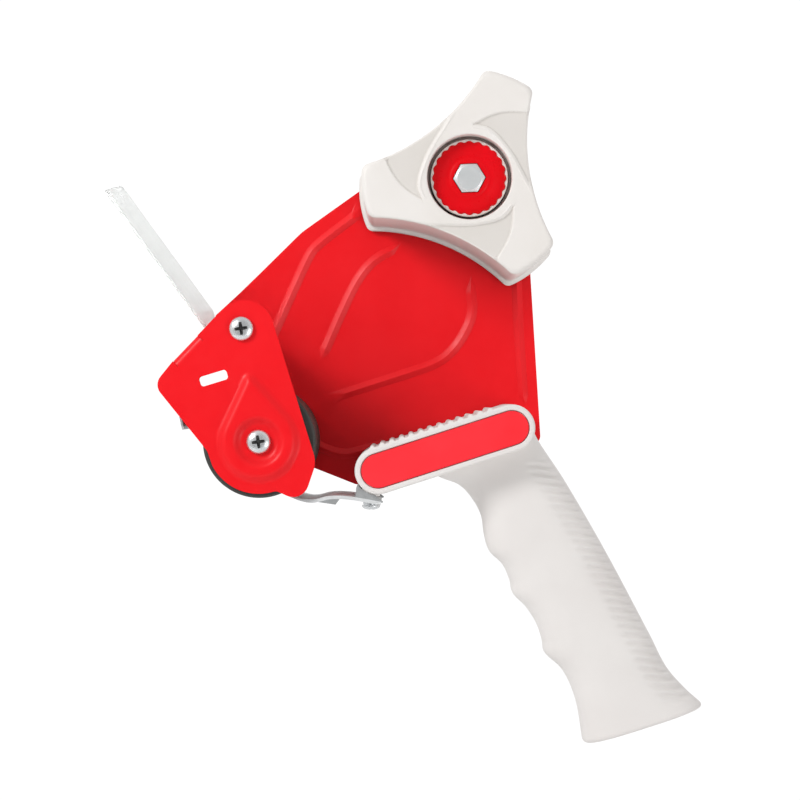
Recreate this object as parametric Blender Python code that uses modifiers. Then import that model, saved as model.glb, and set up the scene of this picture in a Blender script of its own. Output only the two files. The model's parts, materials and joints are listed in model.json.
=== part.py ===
"""Side-loading tape gun dispenser for 50 mm tape on a 76 mm core.

World frame, metres: the hub turns about the Y axis through the origin, which lies on the near face
of the main plate. -Y points to the open side where the roll goes on, +Z is up, +X is towards the
grip. Dimensions below are in millimetres; the helpers turn them into metres.
"""

import math

import bmesh
import bpy
from mathutils import Matrix, Vector

MM = 0.001

# ---- Driving dimensions (mm, degrees) ----------------------------------------------------------
SHEET = 1.5                     # steel sheet of the frame
INNER_WIDTH = 53.5              # clear width between the main plate and the near cheek
GAP = 0.3                       # air left between solids that touch on the real object

CORE_R = 37.8                   # hub arm ends, just inside a 38.1 mm core radius
HUB_WAIST_R = 21.0              # closest the hub's concave sides come to its axis
HUB_SIDE_R = 72.4               # radius of those concave sides
HUB_ARMS = (68.0, 188.0, 308.0)
HUB_CORNER_R = 3.0
HUB_NEAR, HUB_FAR = -52.0, -1.2
HUB_WALL = 2.4
HUB_LIP = 1.5                   # how far the rear lip stands out past the arms
HUB_CUP_R, HUB_CUP_FLOOR = 14.8, -30.0
HUB_BOSS_R, HUB_BOSS_BORE = 9.5, 6.9

POST_R, POST_BORE, POST_END = 5.0, 3.25, -31.8
BOLT_R, BOLT_END = 3.0, -8.0
HEX_FLATS = 9.7
KNOB_R, KNOB_NEAR, KNOB_FAR = 13.1, -47.0, -38.0
KNOB_SCALLOPS, KNOB_SCALLOP_DEPTH = 24, 0.55

ROLLER_AXIS = (-73.4, -92.3)    # x, z
ROLLER_R, ROLLER_CORE_R = 19.7, 15.4
ROLLER_NEAR, ROLLER_FAR = -51.6, -1.9
TIE_AXIS = (-79.4, -53.0)
ROD_R = 3.0
SCREW_SHANK_R, SCREW_HEAD_R, SCREW_HEAD_H = 1.5, 4.2, 2.3

BEND_TOP = (-88.0, -48.4)       # the cross-plate's outer face runs from here ...
BEND_BOTTOM = (-103.2, -64.3)   # ... to here, seen from the side
BEND_R = 2.5                    # outside radius of the sheet's bends
CROSS_TOP = 9.7                 # the cross-plate starts this far below BEND_TOP

FLAP_TILT = 53.9                # the flap leans this many degrees up from -X
FLAP_NEAR_LENGTH, FLAP_FAR_LENGTH = 60.1, 64.6
FLAP_WIDTH, FLAP_SHEET = 49.0, 0.8
FLAP_TWIST = 3.6                # rise of the flap's far edge over its near edge
FLAP_PIVOT_GAP = 0.5            # half the gap between the clamped and the free film
FLAP_ROOT = 9.4                 # film between its pivot and its held end

BLADE_ANGLE = 78.5              # the blade hangs this many degrees below +X
BLADE_LENGTH, BLADE_WIDTH, BLADE_SHEET = 23.0, 49.0, 0.8
BLADE_TEETH, BLADE_TOOTH_DEPTH = 18, 1.8

HEAD_LEFT, HEAD_RIGHT = (-31.9, -102.45), (14.6, -87.5)     # centres of the head's round ends
HEAD_R, HEAD_WALL = 8.2, 2.2
HEAD_NEAR, HEAD_FAR = -54.0, -0.3
INSET_R = 5.9
RIDGES, RIDGE_PITCH, RIDGE_FIRST = 13, 3.6, -24.0
PARTING = -27.0                 # the plane where the handle's shells meet
GRIP_HALF_THICKNESS = 14.0
GRIP_WALL = 2.5
GRIP_END, GRIP_EDGE = 116.3, 1.8

STEPS = 32                      # sides of a round piece

# The grip in the head's own directions: distance below the head's axis, then distance along it.
GRIP_FRONT = (
    (1, -10), (9, -5), (14, 1), (20, 4), (27, 5.3), (34, 4.2), (40, 4.2), (46, 7.2), (52, 7.9),
    (57, 7.6), (63, 10.5), (70, 12.3), (76, 12.4), (80.5, 11.9), (87.5, 15.7), (95, 17.2),
    (103, 17.1), (114.5, 15.3),
)
GRIP_BACK = (
    (1, 32.2), (7.4, 32.9), (24, 37.5), (52, 43.6), (86, 49.7), (99, 51.9), (109, 56.3),
    (114.5, 59.6),
)
HANDLE_SCREWS = ((22, 21), (62, 28), (100, 35))
GUIDE_SCREW_X, GUIDE_SCREW_YS = -34.5, {"near": -40.0, "far": -14.0}

# ---- Materials: colour, roughness, metallic ----------------------------------------------------
FINISHES = {
    "red_paint": ((0.85, 0.035, 0.03), 0.35, 0.0),
    "hub_plastic": ((0.78, 0.74, 0.69), 0.45, 0.0),
    "grip_plastic": ((0.80, 0.78, 0.75), 0.5, 0.0),
    "red_plastic": ((0.80, 0.012, 0.02), 0.3, 0.0),
    "inset_red": ((0.95, 0.05, 0.06), 0.4, 0.0),
    "zinc_steel": ((0.72, 0.74, 0.75), 0.3, 1.0),
    "blade_steel": ((0.6, 0.61, 0.62), 0.25, 1.0),
    "black_rubber": ((0.03, 0.028, 0.026), 0.8, 0.0),
    "black_plastic": ((0.02, 0.02, 0.022), 0.5, 0.0),
    "clear_film": ((0.86, 0.86, 0.84), 0.4, 0.0),
    "fibre": ((0.35, 0.22, 0.12), 0.9, 0.0),
    "nylon": ((0.85, 0.84, 0.78), 0.5, 0.0),
}


# ---- Scene set-up ------------------------------------------------------------------------------
def empty_scene():
    for obj in list(bpy.data.objects):
        bpy.data.objects.remove(obj)


def new_collection(name):
    collection = bpy.data.collections.new(name)
    bpy.context.scene.collection.children.link(collection)
    return collection


def new_material(name):
    colour, roughness, metallic = FINISHES[name]
    material = bpy.data.materials.new(name)
    material.use_nodes = True
    shader = material.node_tree.nodes["Principled BSDF"]
    shader.inputs["Base Color"].default_value = (*colour, 1.0)
    shader.inputs["Roughness"].default_value = roughness
    shader.inputs["Metallic"].default_value = metallic
    material.diffuse_color = (*colour, 1.0)
    return material


empty_scene()
PARTS = new_collection("tape_gun_dispenser")
CUTTERS = new_collection("cutters")
MATERIALS = {name: new_material(name) for name in FINISHES}


def link(obj, material):
    """A part goes in the object's collection with its material, a cutter in the cutters'."""
    if material:
        PARTS.objects.link(obj)
        obj.data.materials.append(MATERIALS[material])
    else:
        CUTTERS.objects.link(obj)
        obj.hide_render = True
        obj.display_type = "WIRE"
    return obj


# ---- Placing -----------------------------------------------------------------------------------
def place(origin, x_axis, y_axis):
    """The matrix whose local X and Y run along these world directions, from an origin in mm."""
    x_axis = Vector(x_axis).normalized()
    z_axis = x_axis.cross(Vector(y_axis)).normalized()
    y_axis = z_axis.cross(x_axis)
    matrix = Matrix((x_axis, y_axis, z_axis)).transposed().to_4x4()
    matrix.translation = Vector(origin) * MM
    return matrix


def across(x=0.0, z=0.0, y=0.0):
    """Local Z runs along world +Y."""
    return place((x, y, z), (1, 0, 0), (0, 0, -1))


def side_view(x=0.0, z=0.0, y=0.0):
    """Local X and Y are world X and Z; local Z points to the open side."""
    return place((x, y, z), (1, 0, 0), (0, 0, 1))


def polar(radius, degrees, centre=(0.0, 0.0)):
    angle = math.radians(degrees)
    return centre[0] + radius * math.cos(angle), centre[1] + radius * math.sin(angle)


def shift(point, direction, distance):
    return point[0] + direction[0] * distance, point[1] + direction[1] * distance


# ---- Outlines ----------------------------------------------------------------------------------
def arc(centre, radius, start, end, count):
    return [polar(radius, start + (end - start) * i / count, centre) for i in range(count + 1)]


def circle(centre, radius, count=STEPS):
    return [polar(radius, 360.0 * i / count, centre) for i in range(count)]


def rounded(corners, count=4):
    """A closed outline. A corner (x, y, r) becomes an arc of radius r; (x, y) stays sharp."""
    outline = []
    for index, corner in enumerate(corners):
        here = Vector(corner[:2])
        radius = corner[2] if len(corner) > 2 else 0
        if not radius:
            outline.append(tuple(here))
            continue
        back = (Vector(corners[index - 1][:2]) - here).normalized()
        ahead = (Vector(corners[(index + 1) % len(corners)][:2]) - here).normalized()
        half = back.angle(ahead) / 2
        centre = here + (back + ahead).normalized() * radius / math.sin(half)
        start = here + back * radius / math.tan(half) - centre
        turn = start.angle_signed(here + ahead * radius / math.tan(half) - centre)
        for i in range(count + 1):
            outline.append(tuple(centre + Matrix.Rotation(-turn * i / count, 2) @ start))
    return outline


def stadium(left, right, radius, count=8):
    """Two half circles joined by straight lines."""
    tilt = math.degrees(math.atan2(right[1] - left[1], right[0] - left[0]))
    return arc(left, radius, tilt + 90, tilt + 270, count) + arc(
        right, radius, tilt - 90, tilt + 90, count
    )


def slot(centre, length, width, tilt, count=4):
    half = (length - width) / 2
    ends = polar(-half, tilt, centre), polar(half, tilt, centre)
    return stadium(*ends, width / 2, count)


def window(centre, length, width, tilt, radius):
    """A rectangle with round corners."""
    along, up = Vector(polar(length / 2, tilt)), Vector(polar(width / 2, tilt + 90))
    corners = [Vector(centre) + along * i + up * j for i, j in ((-1, 1), (-1, -1), (1, -1), (1, 1))]
    return rounded([(*corner, radius) for corner in corners])


def band(path, thickness):
    """The outline of a bent sheet whose top face follows this path from left to right."""
    points = [Vector(p) for p in path]
    below = []
    for index, point in enumerate(points):
        before = points[max(index - 1, 0)]
        after = points[min(index + 1, len(points) - 1)]
        along = (after - before).normalized()
        below.append(tuple(point + Vector((along.y, -along.x)) * thickness))
    return [tuple(p) for p in points] + below[::-1]


# ---- Solids ------------------------------------------------------------------------------------
def extruded(name, loops, low, high, matrix, material=None):
    """Outer outline, then any holes, filled and extruded along the matrix's local Z."""
    curve = bpy.data.curves.new(name, "CURVE")
    curve.dimensions = "2D"
    curve.fill_mode = "BOTH"
    curve.extrude = (high - low) / 2 * MM
    for loop in loops:
        spline = curve.splines.new("POLY")
        spline.points.add(len(loop) - 1)
        for point, (x, y) in zip(spline.points, loop):
            point.co = (x * MM, y * MM, 0, 1)
        spline.use_cyclic_u = True
    outline = bpy.data.objects.new(name, curve)
    outline.matrix_world = matrix @ Matrix.Translation((0, 0, (low + high) / 2 * MM))
    bpy.context.scene.collection.objects.link(outline)
    depsgraph = bpy.context.evaluated_depsgraph_get()
    mesh = bpy.data.meshes.new_from_object(outline.evaluated_get(depsgraph))
    mesh.materials.clear()
    middle = outline.matrix_world.copy()
    bpy.data.objects.remove(outline)
    solid = bpy.data.objects.new(name, weld(mesh))
    solid.matrix_world = middle
    return link(solid, material)


def weld(mesh):
    shape = bmesh.new()
    shape.from_mesh(mesh)
    bmesh.ops.remove_doubles(shape, verts=shape.verts, dist=1e-6)
    bmesh.ops.recalc_face_normals(shape, faces=shape.faces)
    shape.to_mesh(mesh)
    shape.free()
    return mesh


def turned(name, profile, matrix, material=None, steps=STEPS, ring=False):
    """(radius, height) points turned about the matrix's local Z. A ring's profile closes."""
    pairs = list(zip(profile, profile[1:] + profile[:1]))
    if sum(a[0] * b[1] - b[0] * a[1] for a, b in pairs) > 0:
        profile = profile[::-1]
    mesh = bpy.data.meshes.new(name)
    edges = [(i, i + 1) for i in range(len(profile) - 1)]
    if ring:
        edges.append((len(profile) - 1, 0))
    mesh.from_pydata([(r * MM, 0, h * MM) for r, h in profile], edges, [])
    solid = bpy.data.objects.new(name, mesh)
    solid.matrix_world = matrix
    screw = solid.modifiers.new("Turn", "SCREW")
    screw.steps = screw.render_steps = steps
    screw.use_merge_vertices = True
    screw.merge_threshold = 1e-6
    screw.use_smooth_shade = True
    return link(solid, material)


def rod(name, radius, low, high, matrix, material=None, steps=STEPS):
    return turned(name, [(0, high), (radius, high), (radius, low), (0, low)], matrix, material, steps)


def tube(name, outer, inner, low, high, matrix, material=None, steps=STEPS):
    profile = [(outer, high), (outer, low), (inner, low), (inner, high)]
    return turned(name, profile, matrix, material, steps, ring=True)


def block(name, size, matrix, material=None):
    mesh = bpy.data.meshes.new(name)
    shape = bmesh.new()
    bmesh.ops.create_cube(shape, size=1.0)
    bmesh.ops.scale(shape, vec=Vector(size) * MM, verts=shape.verts)
    shape.to_mesh(mesh)
    shape.free()
    solid = bpy.data.objects.new(name, mesh)
    solid.matrix_world = matrix
    return link(solid, material)


def boolean(solid, operation, others):
    for other in others:
        modifier = solid.modifiers.new(operation.title(), "BOOLEAN")
        modifier.operation = operation
        modifier.solver = "EXACT"
        modifier.object = other
    return solid


def cut(solid, *others):
    return boolean(solid, "DIFFERENCE", others)


def fuse(solid, *others):
    return boolean(solid, "UNION", others)


def round_edges(solid, width, segments=2, degrees=40):
    bevel = solid.modifiers.new("Edges", "BEVEL")
    bevel.width = width * MM
    bevel.segments = segments
    bevel.limit_method = "ANGLE"
    bevel.angle_limit = math.radians(degrees)
    return solid


def attach(empty_name, axis_point, solids, parent=None):
    """Pieces that move together hang from an empty on their joint's axis."""
    empty = bpy.data.objects.new(empty_name, None)
    empty.location = Vector(axis_point) * MM
    PARTS.objects.link(empty)
    bpy.context.view_layer.update()
    for child in solids:
        child.parent = empty
        child.matrix_parent_inverse = empty.matrix_world.inverted()
    if parent:
        empty.parent = parent
        empty.matrix_parent_inverse = parent.matrix_world.inverted()
    return empty


# ---- Fasteners ---------------------------------------------------------------------------------
def cross_recess(name, head, matrix):
    """The cutter for a cross drive in a screw head whose top is at this height."""
    arms = []
    for turn in (8, 98):
        spin = Matrix.Rotation(math.radians(turn), 4, "Z")
        lift = Matrix.Translation((0, 0, head * MM))
        arms.append(block(f"{name}_recess_{turn}", (4.6, 0.9, 2.6), matrix @ lift @ spin))
    return arms


def pan_screw(name, matrix, shank_length, head_r=SCREW_HEAD_R, head_h=SCREW_HEAD_H,
              shank_r=SCREW_SHANK_R, material="zinc_steel"):
    """The head's underside is at local Z = 0, its top towards +Z, its shank towards -Z."""
    profile = [
        (0, head_h),
        (0.5 * head_r, head_h),
        (0.85 * head_r, 0.7 * head_h),
        (head_r, 0.2 * head_h),
        (head_r, 0),
        (shank_r, 0),
        (shank_r, -shank_length),
        (0, -shank_length),
    ]
    screw = turned(name, profile, matrix, material, steps=18)
    return cut(screw, *cross_recess(name, head_h, matrix))


def rivet(name, matrix, grip, head_r=2.4, shank_r=1.4):
    """A dome on +Z, a flat tail under the sheets it holds together."""
    profile = [
        (0, 1.1),
        (0.6 * head_r, 0.9),
        (head_r, 0.2),
        (head_r, 0),
        (shank_r, 0),
        (shank_r, -grip),
        (0.8 * head_r, -grip),
        (0.8 * head_r, -grip - 0.7),
        (0, -grip - 0.7),
    ]
    return turned(name, profile, matrix, "zinc_steel", steps=16)


def hexagon(flats):
    return circle((0, 0), flats / math.sqrt(3), 6)


# ---- Frame -------------------------------------------------------------------------------------
ALONG_BEND = (Vector(BEND_BOTTOM) - Vector(BEND_TOP)).normalized()
OUT_OF_BEND = Vector((ALONG_BEND.y, -ALONG_BEND.x))
BEND_SPAN = (Vector(BEND_BOTTOM) - Vector(BEND_TOP)).length
CHEEK_NEAR = -INNER_WIDTH - SHEET
FLAP_DIRECTION = Vector(polar(1, 180 - FLAP_TILT))
FLAP_UP = Vector((FLAP_DIRECTION.y, -FLAP_DIRECTION.x))
BLADE_DIRECTION = Vector(polar(1, -BLADE_ANGLE))
BLADE_OUT = Vector((BLADE_DIRECTION.y, -BLADE_DIRECTION.x))
HEAD_ALONG = (Vector(HEAD_RIGHT) - Vector(HEAD_LEFT)).normalized()
HEAD_DOWN = Vector((HEAD_ALONG.y, -HEAD_ALONG.x))
HEAD_MIDDLE = (Vector(HEAD_LEFT) + Vector(HEAD_RIGHT)) / 2
FRAME_SCREWS = (-20.0, 14.0)    # along the head's axis from its middle
ADJUSTER_SLOT = (-89.05, -70.2)


def bend_point(along, out):
    """A side-view point from distances along the bend line and out of the cross-plate."""
    return tuple(Vector(BEND_TOP) + ALONG_BEND * along + OUT_OF_BEND * out)


def head_point(along, down=0.0):
    return tuple(HEAD_MIDDLE + HEAD_ALONG * along + HEAD_DOWN * down)


def bend_notch(relief=0.8):
    """The stretch where the bend takes over from a plate, with a relief cut at each end."""
    root = -BEND_R - relief
    return [
        bend_point(BEND_SPAN + relief, 0),
        bend_point(BEND_SPAN + relief, root),
        bend_point(BEND_SPAN, root),
        bend_point(BEND_SPAN, -BEND_R),
        bend_point(CROSS_TOP, -BEND_R),
        bend_point(CROSS_TOP, root),
        bend_point(CROSS_TOP - relief, root),
        bend_point(CROSS_TOP - relief, 0),
    ]


def nose_corners():
    """The rounded corner in front of the blade, shared by both plates."""
    return [(-91.2, -95.6, 4), (-109.8, -72.5, 4.5)]


def cheek_outline():
    around_roller = arc(ROLLER_AXIS, 18.1, -76, -153, 8)
    return rounded([
        (*BEND_TOP, 2),
        (-73.8, -33.5, 10.3),
        (-53.4, -99.4, 9),
        (-58.2, -113.6, 5.5),
        (-67.2, -109.4, 3),
        *around_roller,
        *nose_corners(),
        *bend_notch(),
    ])


def plate_outline():
    around_roller = arc(ROLLER_AXIS, 18.1, -44, -153, 10)
    return rounded([
        (-92.2, -46.6, 1.5),
        (-83.3, -38.4),
        (-75.9, -31.2, 12),
        (-60.5, -16.0, 25),
        (-20, 12.8, 12),
        (-4, 20, 12),
        (19.5, 21, 12),
        (22.2, -6, 40),
        (27.6, -94, 3),
        head_point(18, 5),
        head_point(-28, 5),
        (-40.5, -108.9, 2),
        (-57, -102.4, 2),
        *around_roller,
        *nose_corners(),
        *bend_notch(),
    ])


def fill_face(shape, loops, y):
    """A flat face in the side view, with holes, at this depth."""
    edges = []
    for loop in loops:
        verts = [shape.verts.new((x * MM, y * MM, z * MM)) for x, z in loop]
        edges += [shape.edges.new(pair) for pair in zip(verts, verts[1:] + verts[:1])]
    bmesh.ops.triangle_fill(shape, use_beauty=True, use_dissolve=False, edges=edges)


def strip(shape, path, start, end):
    """Quads that follow a path of points from one end vector to the other."""
    rows = [[shape.verts.new((Vector(p) + Vector(e)) * MM) for e in (start, end)] for p in path]
    for a, b in zip(rows, rows[1:]):
        shape.faces.new((a[0], a[1], b[1], b[0]))


def frame_skin():
    """The outer skin of the one-piece stamping, as an open surface."""
    shape = bmesh.new()
    roller_hole = circle(ROLLER_AXIS, SCREW_SHANK_R + GAP, 16)
    tie_hole = circle(TIE_AXIS, SCREW_SHANK_R + GAP, 16)
    plate_holes = [
        roller_hole,
        tie_hole,
        circle((0, 0), 4.3, 24),
        slot((-92.6, -70.2), 15, 9, 15),
        *(circle(head_point(along), 2.2, 16) for along in FRAME_SCREWS),
    ]
    cheek_holes = [roller_hole, tie_hole, window(ADJUSTER_SLOT, 9.9, 3.5, 17, 1.1)]
    fill_face(shape, [plate_outline(), *plate_holes], SHEET)
    fill_face(shape, [cheek_outline(), *cheek_holes], CHEEK_NEAR)

    # The U: in from the far plate, round two bends and back into the cheek.
    far_bend = arc((-BEND_R, SHEET - BEND_R), BEND_R, 90, 0, 4)
    near_bend = arc((-BEND_R, CHEEK_NEAR + BEND_R), BEND_R, 0, -90, 4)
    for bend in (far_bend, near_bend):
        path = []
        for out, y in bend:
            x, z = bend_point(CROSS_TOP, out)
            path.append((x, y, z))
        drop = ALONG_BEND * (BEND_SPAN - CROSS_TOP)
        strip(shape, path, (0, 0, 0), (drop.x, 0, drop.y))

    cross_plate(shape, far_bend[-1][1], near_bend[0][1])
    bmesh.ops.remove_doubles(shape, verts=shape.verts, dist=1e-5)
    bmesh.ops.recalc_face_normals(shape, faces=shape.faces)
    return shape


def turn_over(start, before, after, radius, count=4):
    """Side-view points of a bend that starts at a point and turns from one direction to another."""
    turn = Vector(before).angle_signed(Vector(after))
    side = Vector((before[1], -before[0])) * (1 if turn > 0 else -1)
    centre = Vector(start) + side * radius
    arm = Vector(start) - centre
    return [tuple(centre + Matrix.Rotation(-turn * i / count, 2) @ arm) for i in range(count + 1)]


def cross_plate(shape, far_y, near_y):
    """The flat of the cross-plate, with the flap's flange above and the blade's flange below."""
    flange_far, flange_near = far_y - 2.5, near_y + 2.5
    top, bottom = bend_point(CROSS_TOP, 0), bend_point(BEND_SPAN, 0)
    ys = (far_y, flange_far, flange_near, near_y)
    upper = [shape.verts.new((top[0] * MM, y * MM, top[1] * MM)) for y in ys]
    lower = [shape.verts.new((bottom[0] * MM, y * MM, bottom[1] * MM)) for y in ys]
    shape.faces.new(upper + lower[::-1])

    inward = -FLAP_DIRECTION
    flap_flange = turn_over(top, -ALONG_BEND, inward, BEND_R)
    flap_flange.append(shift(flap_flange[-1], inward, 7.5))
    blade_flange = turn_over(bottom, ALONG_BEND, BLADE_DIRECTION, BEND_R)
    blade_flange.append(shift(blade_flange[-1], BLADE_DIRECTION, 10))
    for side_path in (flap_flange, blade_flange):
        path = [(x, 0, z) for x, z in side_path]
        strip(shape, path, (0, flange_far, 0), (0, flange_near, 0))


def teardrop(radius, tip):
    """A circle round the roller screw drawn out to a tip."""
    reach = (Vector(tip) - Vector(ROLLER_AXIS)).length
    lean = math.degrees(math.atan2(tip[1] - ROLLER_AXIS[1], tip[0] - ROLLER_AXIS[0]))
    open_half = math.degrees(math.acos(radius / reach))
    around = arc(ROLLER_AXIS, radius, lean + open_half, lean + 360 - open_half, 24)
    return rounded([*around, (*tip, 2.5)])


def make_frame():
    shape = frame_skin()
    mesh = bpy.data.meshes.new("frame")
    shape.to_mesh(mesh)
    shape.free()
    frame = link(bpy.data.objects.new("frame", mesh), "red_paint")
    sheet = frame.modifiers.new("Sheet", "SOLIDIFY")
    sheet.thickness = SHEET * MM
    sheet.offset = -1.0
    sheet.use_even_offset = True

    raised = extruded(
        "cheek_emboss",
        [teardrop(14.1, (-77.4, -66.0)), circle(ROLLER_AXIS, 7.4, 24)],
        -CHEEK_NEAR - 0.7,
        -CHEEK_NEAR + 1.4,
        side_view(),
    )
    return fuse(frame, raised)


# ---- Flap, blade and their fixings -------------------------------------------------------------
SIDE_MIDDLE = -INNER_WIDTH / 2
FIXING_OFFSETS = {"near": -17.0, "far": 17.0}       # from SIDE_MIDDLE
FLAP_FIXING, BLADE_FIXING = -6.0, 5.0               # along the flap, down the blade
PIVOT_OVERHANG = 2.4            # the film bends this far beyond the end of its flange's flat
CLAMP_SHEET = 1.0
FLANGE_START = turn_over(bend_point(CROSS_TOP, 0), -ALONG_BEND, -FLAP_DIRECTION, BEND_R)[-1]
FLAP_SEAT = shift(FLANGE_START, FLAP_UP, GAP + FLAP_SHEET / 2)
FLAP_PIVOT = shift(FLAP_SEAT, FLAP_DIRECTION, PIVOT_OVERHANG)
BLADE_START = turn_over(bend_point(BEND_SPAN, 0), ALONG_BEND, BLADE_DIRECTION, BEND_R)[-1]


def strip_frame(origin, direction):
    """Local X is world +Y from the middle of the width, local Y runs in this direction."""
    return place((origin[0], SIDE_MIDDLE, origin[1]), (0, 1, 0), (direction.x, 0, direction.y))


def flap_frame(up=0.0):
    """Local Y runs out along the flap, local Z off its upper face."""
    return strip_frame(shift(FLAP_PIVOT, FLAP_UP, up), FLAP_DIRECTION)


def blade_frame(out=0.0):
    """Local Y runs down the blade, local Z out of the frame from the flange's face."""
    return strip_frame(shift(BLADE_START, BLADE_OUT, out), BLADE_DIRECTION)


def fixing_holes(distance, radius=1.8):
    return [circle((x, distance), radius, 16) for x in FIXING_OFFSETS.values()]


def make_flap_root():
    half = FLAP_WIDTH / 2
    outline = [(-half, -FLAP_ROOT), (half, -FLAP_ROOT), (half, -FLAP_PIVOT_GAP),
               (-half, -FLAP_PIVOT_GAP)]
    loops = [outline, *fixing_holes(FLAP_FIXING)]
    extruded("flap_root", loops, -FLAP_SHEET / 2, FLAP_SHEET / 2, flap_frame(), "clear_film")


def make_clamp():
    half = FLAP_WIDTH / 2 - 1
    outline = rounded([(-half, -9, 1), (half, -9, 1), (half, -3, 1), (-half, -3, 1)], 2)
    low = FLAP_SHEET / 2 + GAP
    loops = [outline, *fixing_holes(FLAP_FIXING)]
    extruded("flap_clamp_strip", loops, low, low + CLAMP_SHEET, flap_frame(), "zinc_steel")


def make_flap():
    """A film whose far side lifts over its first few millimetres, cut skew at its end."""
    shape = bmesh.new()
    bmesh.ops.create_grid(shape, x_segments=6, y_segments=14, size=0.5)
    for vert in shape.verts:
        side = vert.co.x
        reach = FLAP_NEAR_LENGTH + (FLAP_FAR_LENGTH - FLAP_NEAR_LENGTH) * (side + 0.5)
        out = FLAP_PIVOT_GAP + (vert.co.y + 0.5) * (reach - FLAP_PIVOT_GAP)
        settled = min(out / 8, 1)
        rise = FLAP_TWIST * (side + 0.5) * settled * settled * (3 - 2 * settled)
        vert.co = Vector((side * FLAP_WIDTH, out, rise)) * MM
    mesh = bpy.data.meshes.new("flap")
    shape.to_mesh(mesh)
    shape.free()
    flap = link(bpy.data.objects.new("flap", mesh), "clear_film")
    flap.matrix_world = flap_frame()
    film = flap.modifiers.new("Film", "SOLIDIFY")
    film.thickness = FLAP_SHEET * MM
    film.offset = 0.0
    return flap


def make_blade():
    half = BLADE_WIDTH / 2
    pitch = BLADE_WIDTH / BLADE_TEETH
    root = BLADE_LENGTH - BLADE_TOOTH_DEPTH
    teeth = []
    for i in range(BLADE_TEETH):
        teeth.append((half - pitch * i, root))
        teeth.append((half - pitch * (i + 0.5), BLADE_LENGTH))
    outline = [(-half, root), (-half, 0.8), (half, 0.8), *teeth]
    loops = [outline, *fixing_holes(BLADE_FIXING)]
    extruded("blade", loops, GAP, GAP + BLADE_SHEET, blade_frame(), "blade_steel")


def make_sheet_rivets(frame):
    """Rivets through the flap's clamp and through the blade, with their holes in the flanges."""
    flap_top = FLAP_SHEET / 2 + CLAMP_SHEET + 2 * GAP
    flap_grip = CLAMP_SHEET + FLAP_SHEET + SHEET + 4 * GAP
    blade_top = BLADE_SHEET + 2 * GAP
    blade_grip = BLADE_SHEET + SHEET + 3 * GAP
    for side, x in FIXING_OFFSETS.items():
        at_flap = flap_frame(flap_top) @ Matrix.Translation(Vector((x, FLAP_FIXING, 0)) * MM)
        at_blade = blade_frame(blade_top) @ Matrix.Translation(Vector((x, BLADE_FIXING, 0)) * MM)
        rivet(f"flap_clamp_rivet_{side}", at_flap, flap_grip)
        rivet(f"blade_rivet_{side}", at_blade, blade_grip)
        cut(
            frame,
            rod(f"flap_flange_hole_{side}", 1.8, -6, 0, at_flap, steps=16),
            rod(f"blade_flange_hole_{side}", 1.8, -6, 0, at_blade, steps=16),
        )


# ---- Roller and tie rod ------------------------------------------------------------------------
def make_cross_rod(name, axis, bore_depth=12.0):
    """A steel rod between the plates, bored at both ends for a screw."""
    near, far = -INNER_WIDTH + GAP, -GAP
    bore = SCREW_SHANK_R + GAP
    profile = [
        (0, far - bore_depth),
        (bore, far - bore_depth),
        (bore, far),
        (ROD_R, far),
        (ROD_R, near),
        (bore, near),
        (bore, near + bore_depth),
        (0, near + bore_depth),
    ]
    turned(name, profile, across(*axis), "zinc_steel", steps=24)


def make_rod_screws(stem, axis):
    pan_screw(f"{stem}_screw_near", side_view(*axis, CHEEK_NEAR - GAP), 11)
    pan_screw(f"{stem}_screw_far", across(*axis, SHEET + GAP), 11)


def make_roller():
    near, far = ROLLER_NEAR, ROLLER_FAR
    hub_r, rim_r, pocket = 6.5, 13.0, 12.0
    core = [
        (ROD_R + 0.25, far),
        (hub_r, far),
        (hub_r, far - pocket),
        (rim_r, far - pocket),
        (rim_r, far),
        (ROLLER_CORE_R, far),
        (ROLLER_CORE_R, near),
        (rim_r, near),
        (rim_r, near + pocket),
        (hub_r, near + pocket),
        (hub_r, near),
        (ROD_R + 0.25, near),
    ]
    edge = 0.8
    sleeve = [
        (ROLLER_CORE_R + GAP, far),
        (ROLLER_R - edge, far),
        (ROLLER_R, far - edge),
        (ROLLER_R, near + edge),
        (ROLLER_R - edge, near),
        (ROLLER_CORE_R + GAP, near),
    ]
    at = across(*ROLLER_AXIS)
    return [
        turned("roller_core", core, at, "black_plastic", steps=40, ring=True),
        turned("roller_rubber", sleeve, at, "black_rubber", steps=48, ring=True),
    ]


def make_roller_spacers():
    at = across(*ROLLER_AXIS)
    bore = ROD_R + 0.25
    tube("roller_spacer_near", 5.8, bore, -INNER_WIDTH + GAP, ROLLER_NEAR - GAP, at, "nylon", 24)
    tube("roller_spacer_far", 5.8, bore, ROLLER_FAR + GAP, -GAP, at, "nylon", 24)


# ---- Hub, spindle and brake --------------------------------------------------------------------
def hub_outline(grow=0.0):
    """Three arms with round ends and long concave sides, all moved outwards by this much."""
    end_r, waist = CORE_R + grow, HUB_WAIST_R + grow
    side_r = HUB_SIDE_R - grow
    reach = waist + side_r
    open_half = math.degrees(math.acos((end_r**2 + reach**2 - side_r**2) / (2 * end_r * reach)))
    arm_half = 60 - open_half
    sweep = math.degrees(math.asin(end_r * math.sin(math.radians(open_half)) / side_r))
    corners = []
    for arm in HUB_ARMS:
        corners.append((*polar(end_r, arm - arm_half), HUB_CORNER_R))
        corners += arc((0, 0), end_r, arm - arm_half, arm + arm_half, 4)[1:-1]
        corners.append((*polar(end_r, arm + arm_half), HUB_CORNER_R))
        middle = arm + 60
        side_centre = polar(reach, middle)
        corners += arc(side_centre, side_r, middle + 180 + sweep, middle + 180 - sweep, 12)[1:-1]
    return rounded(corners, 3)


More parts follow.
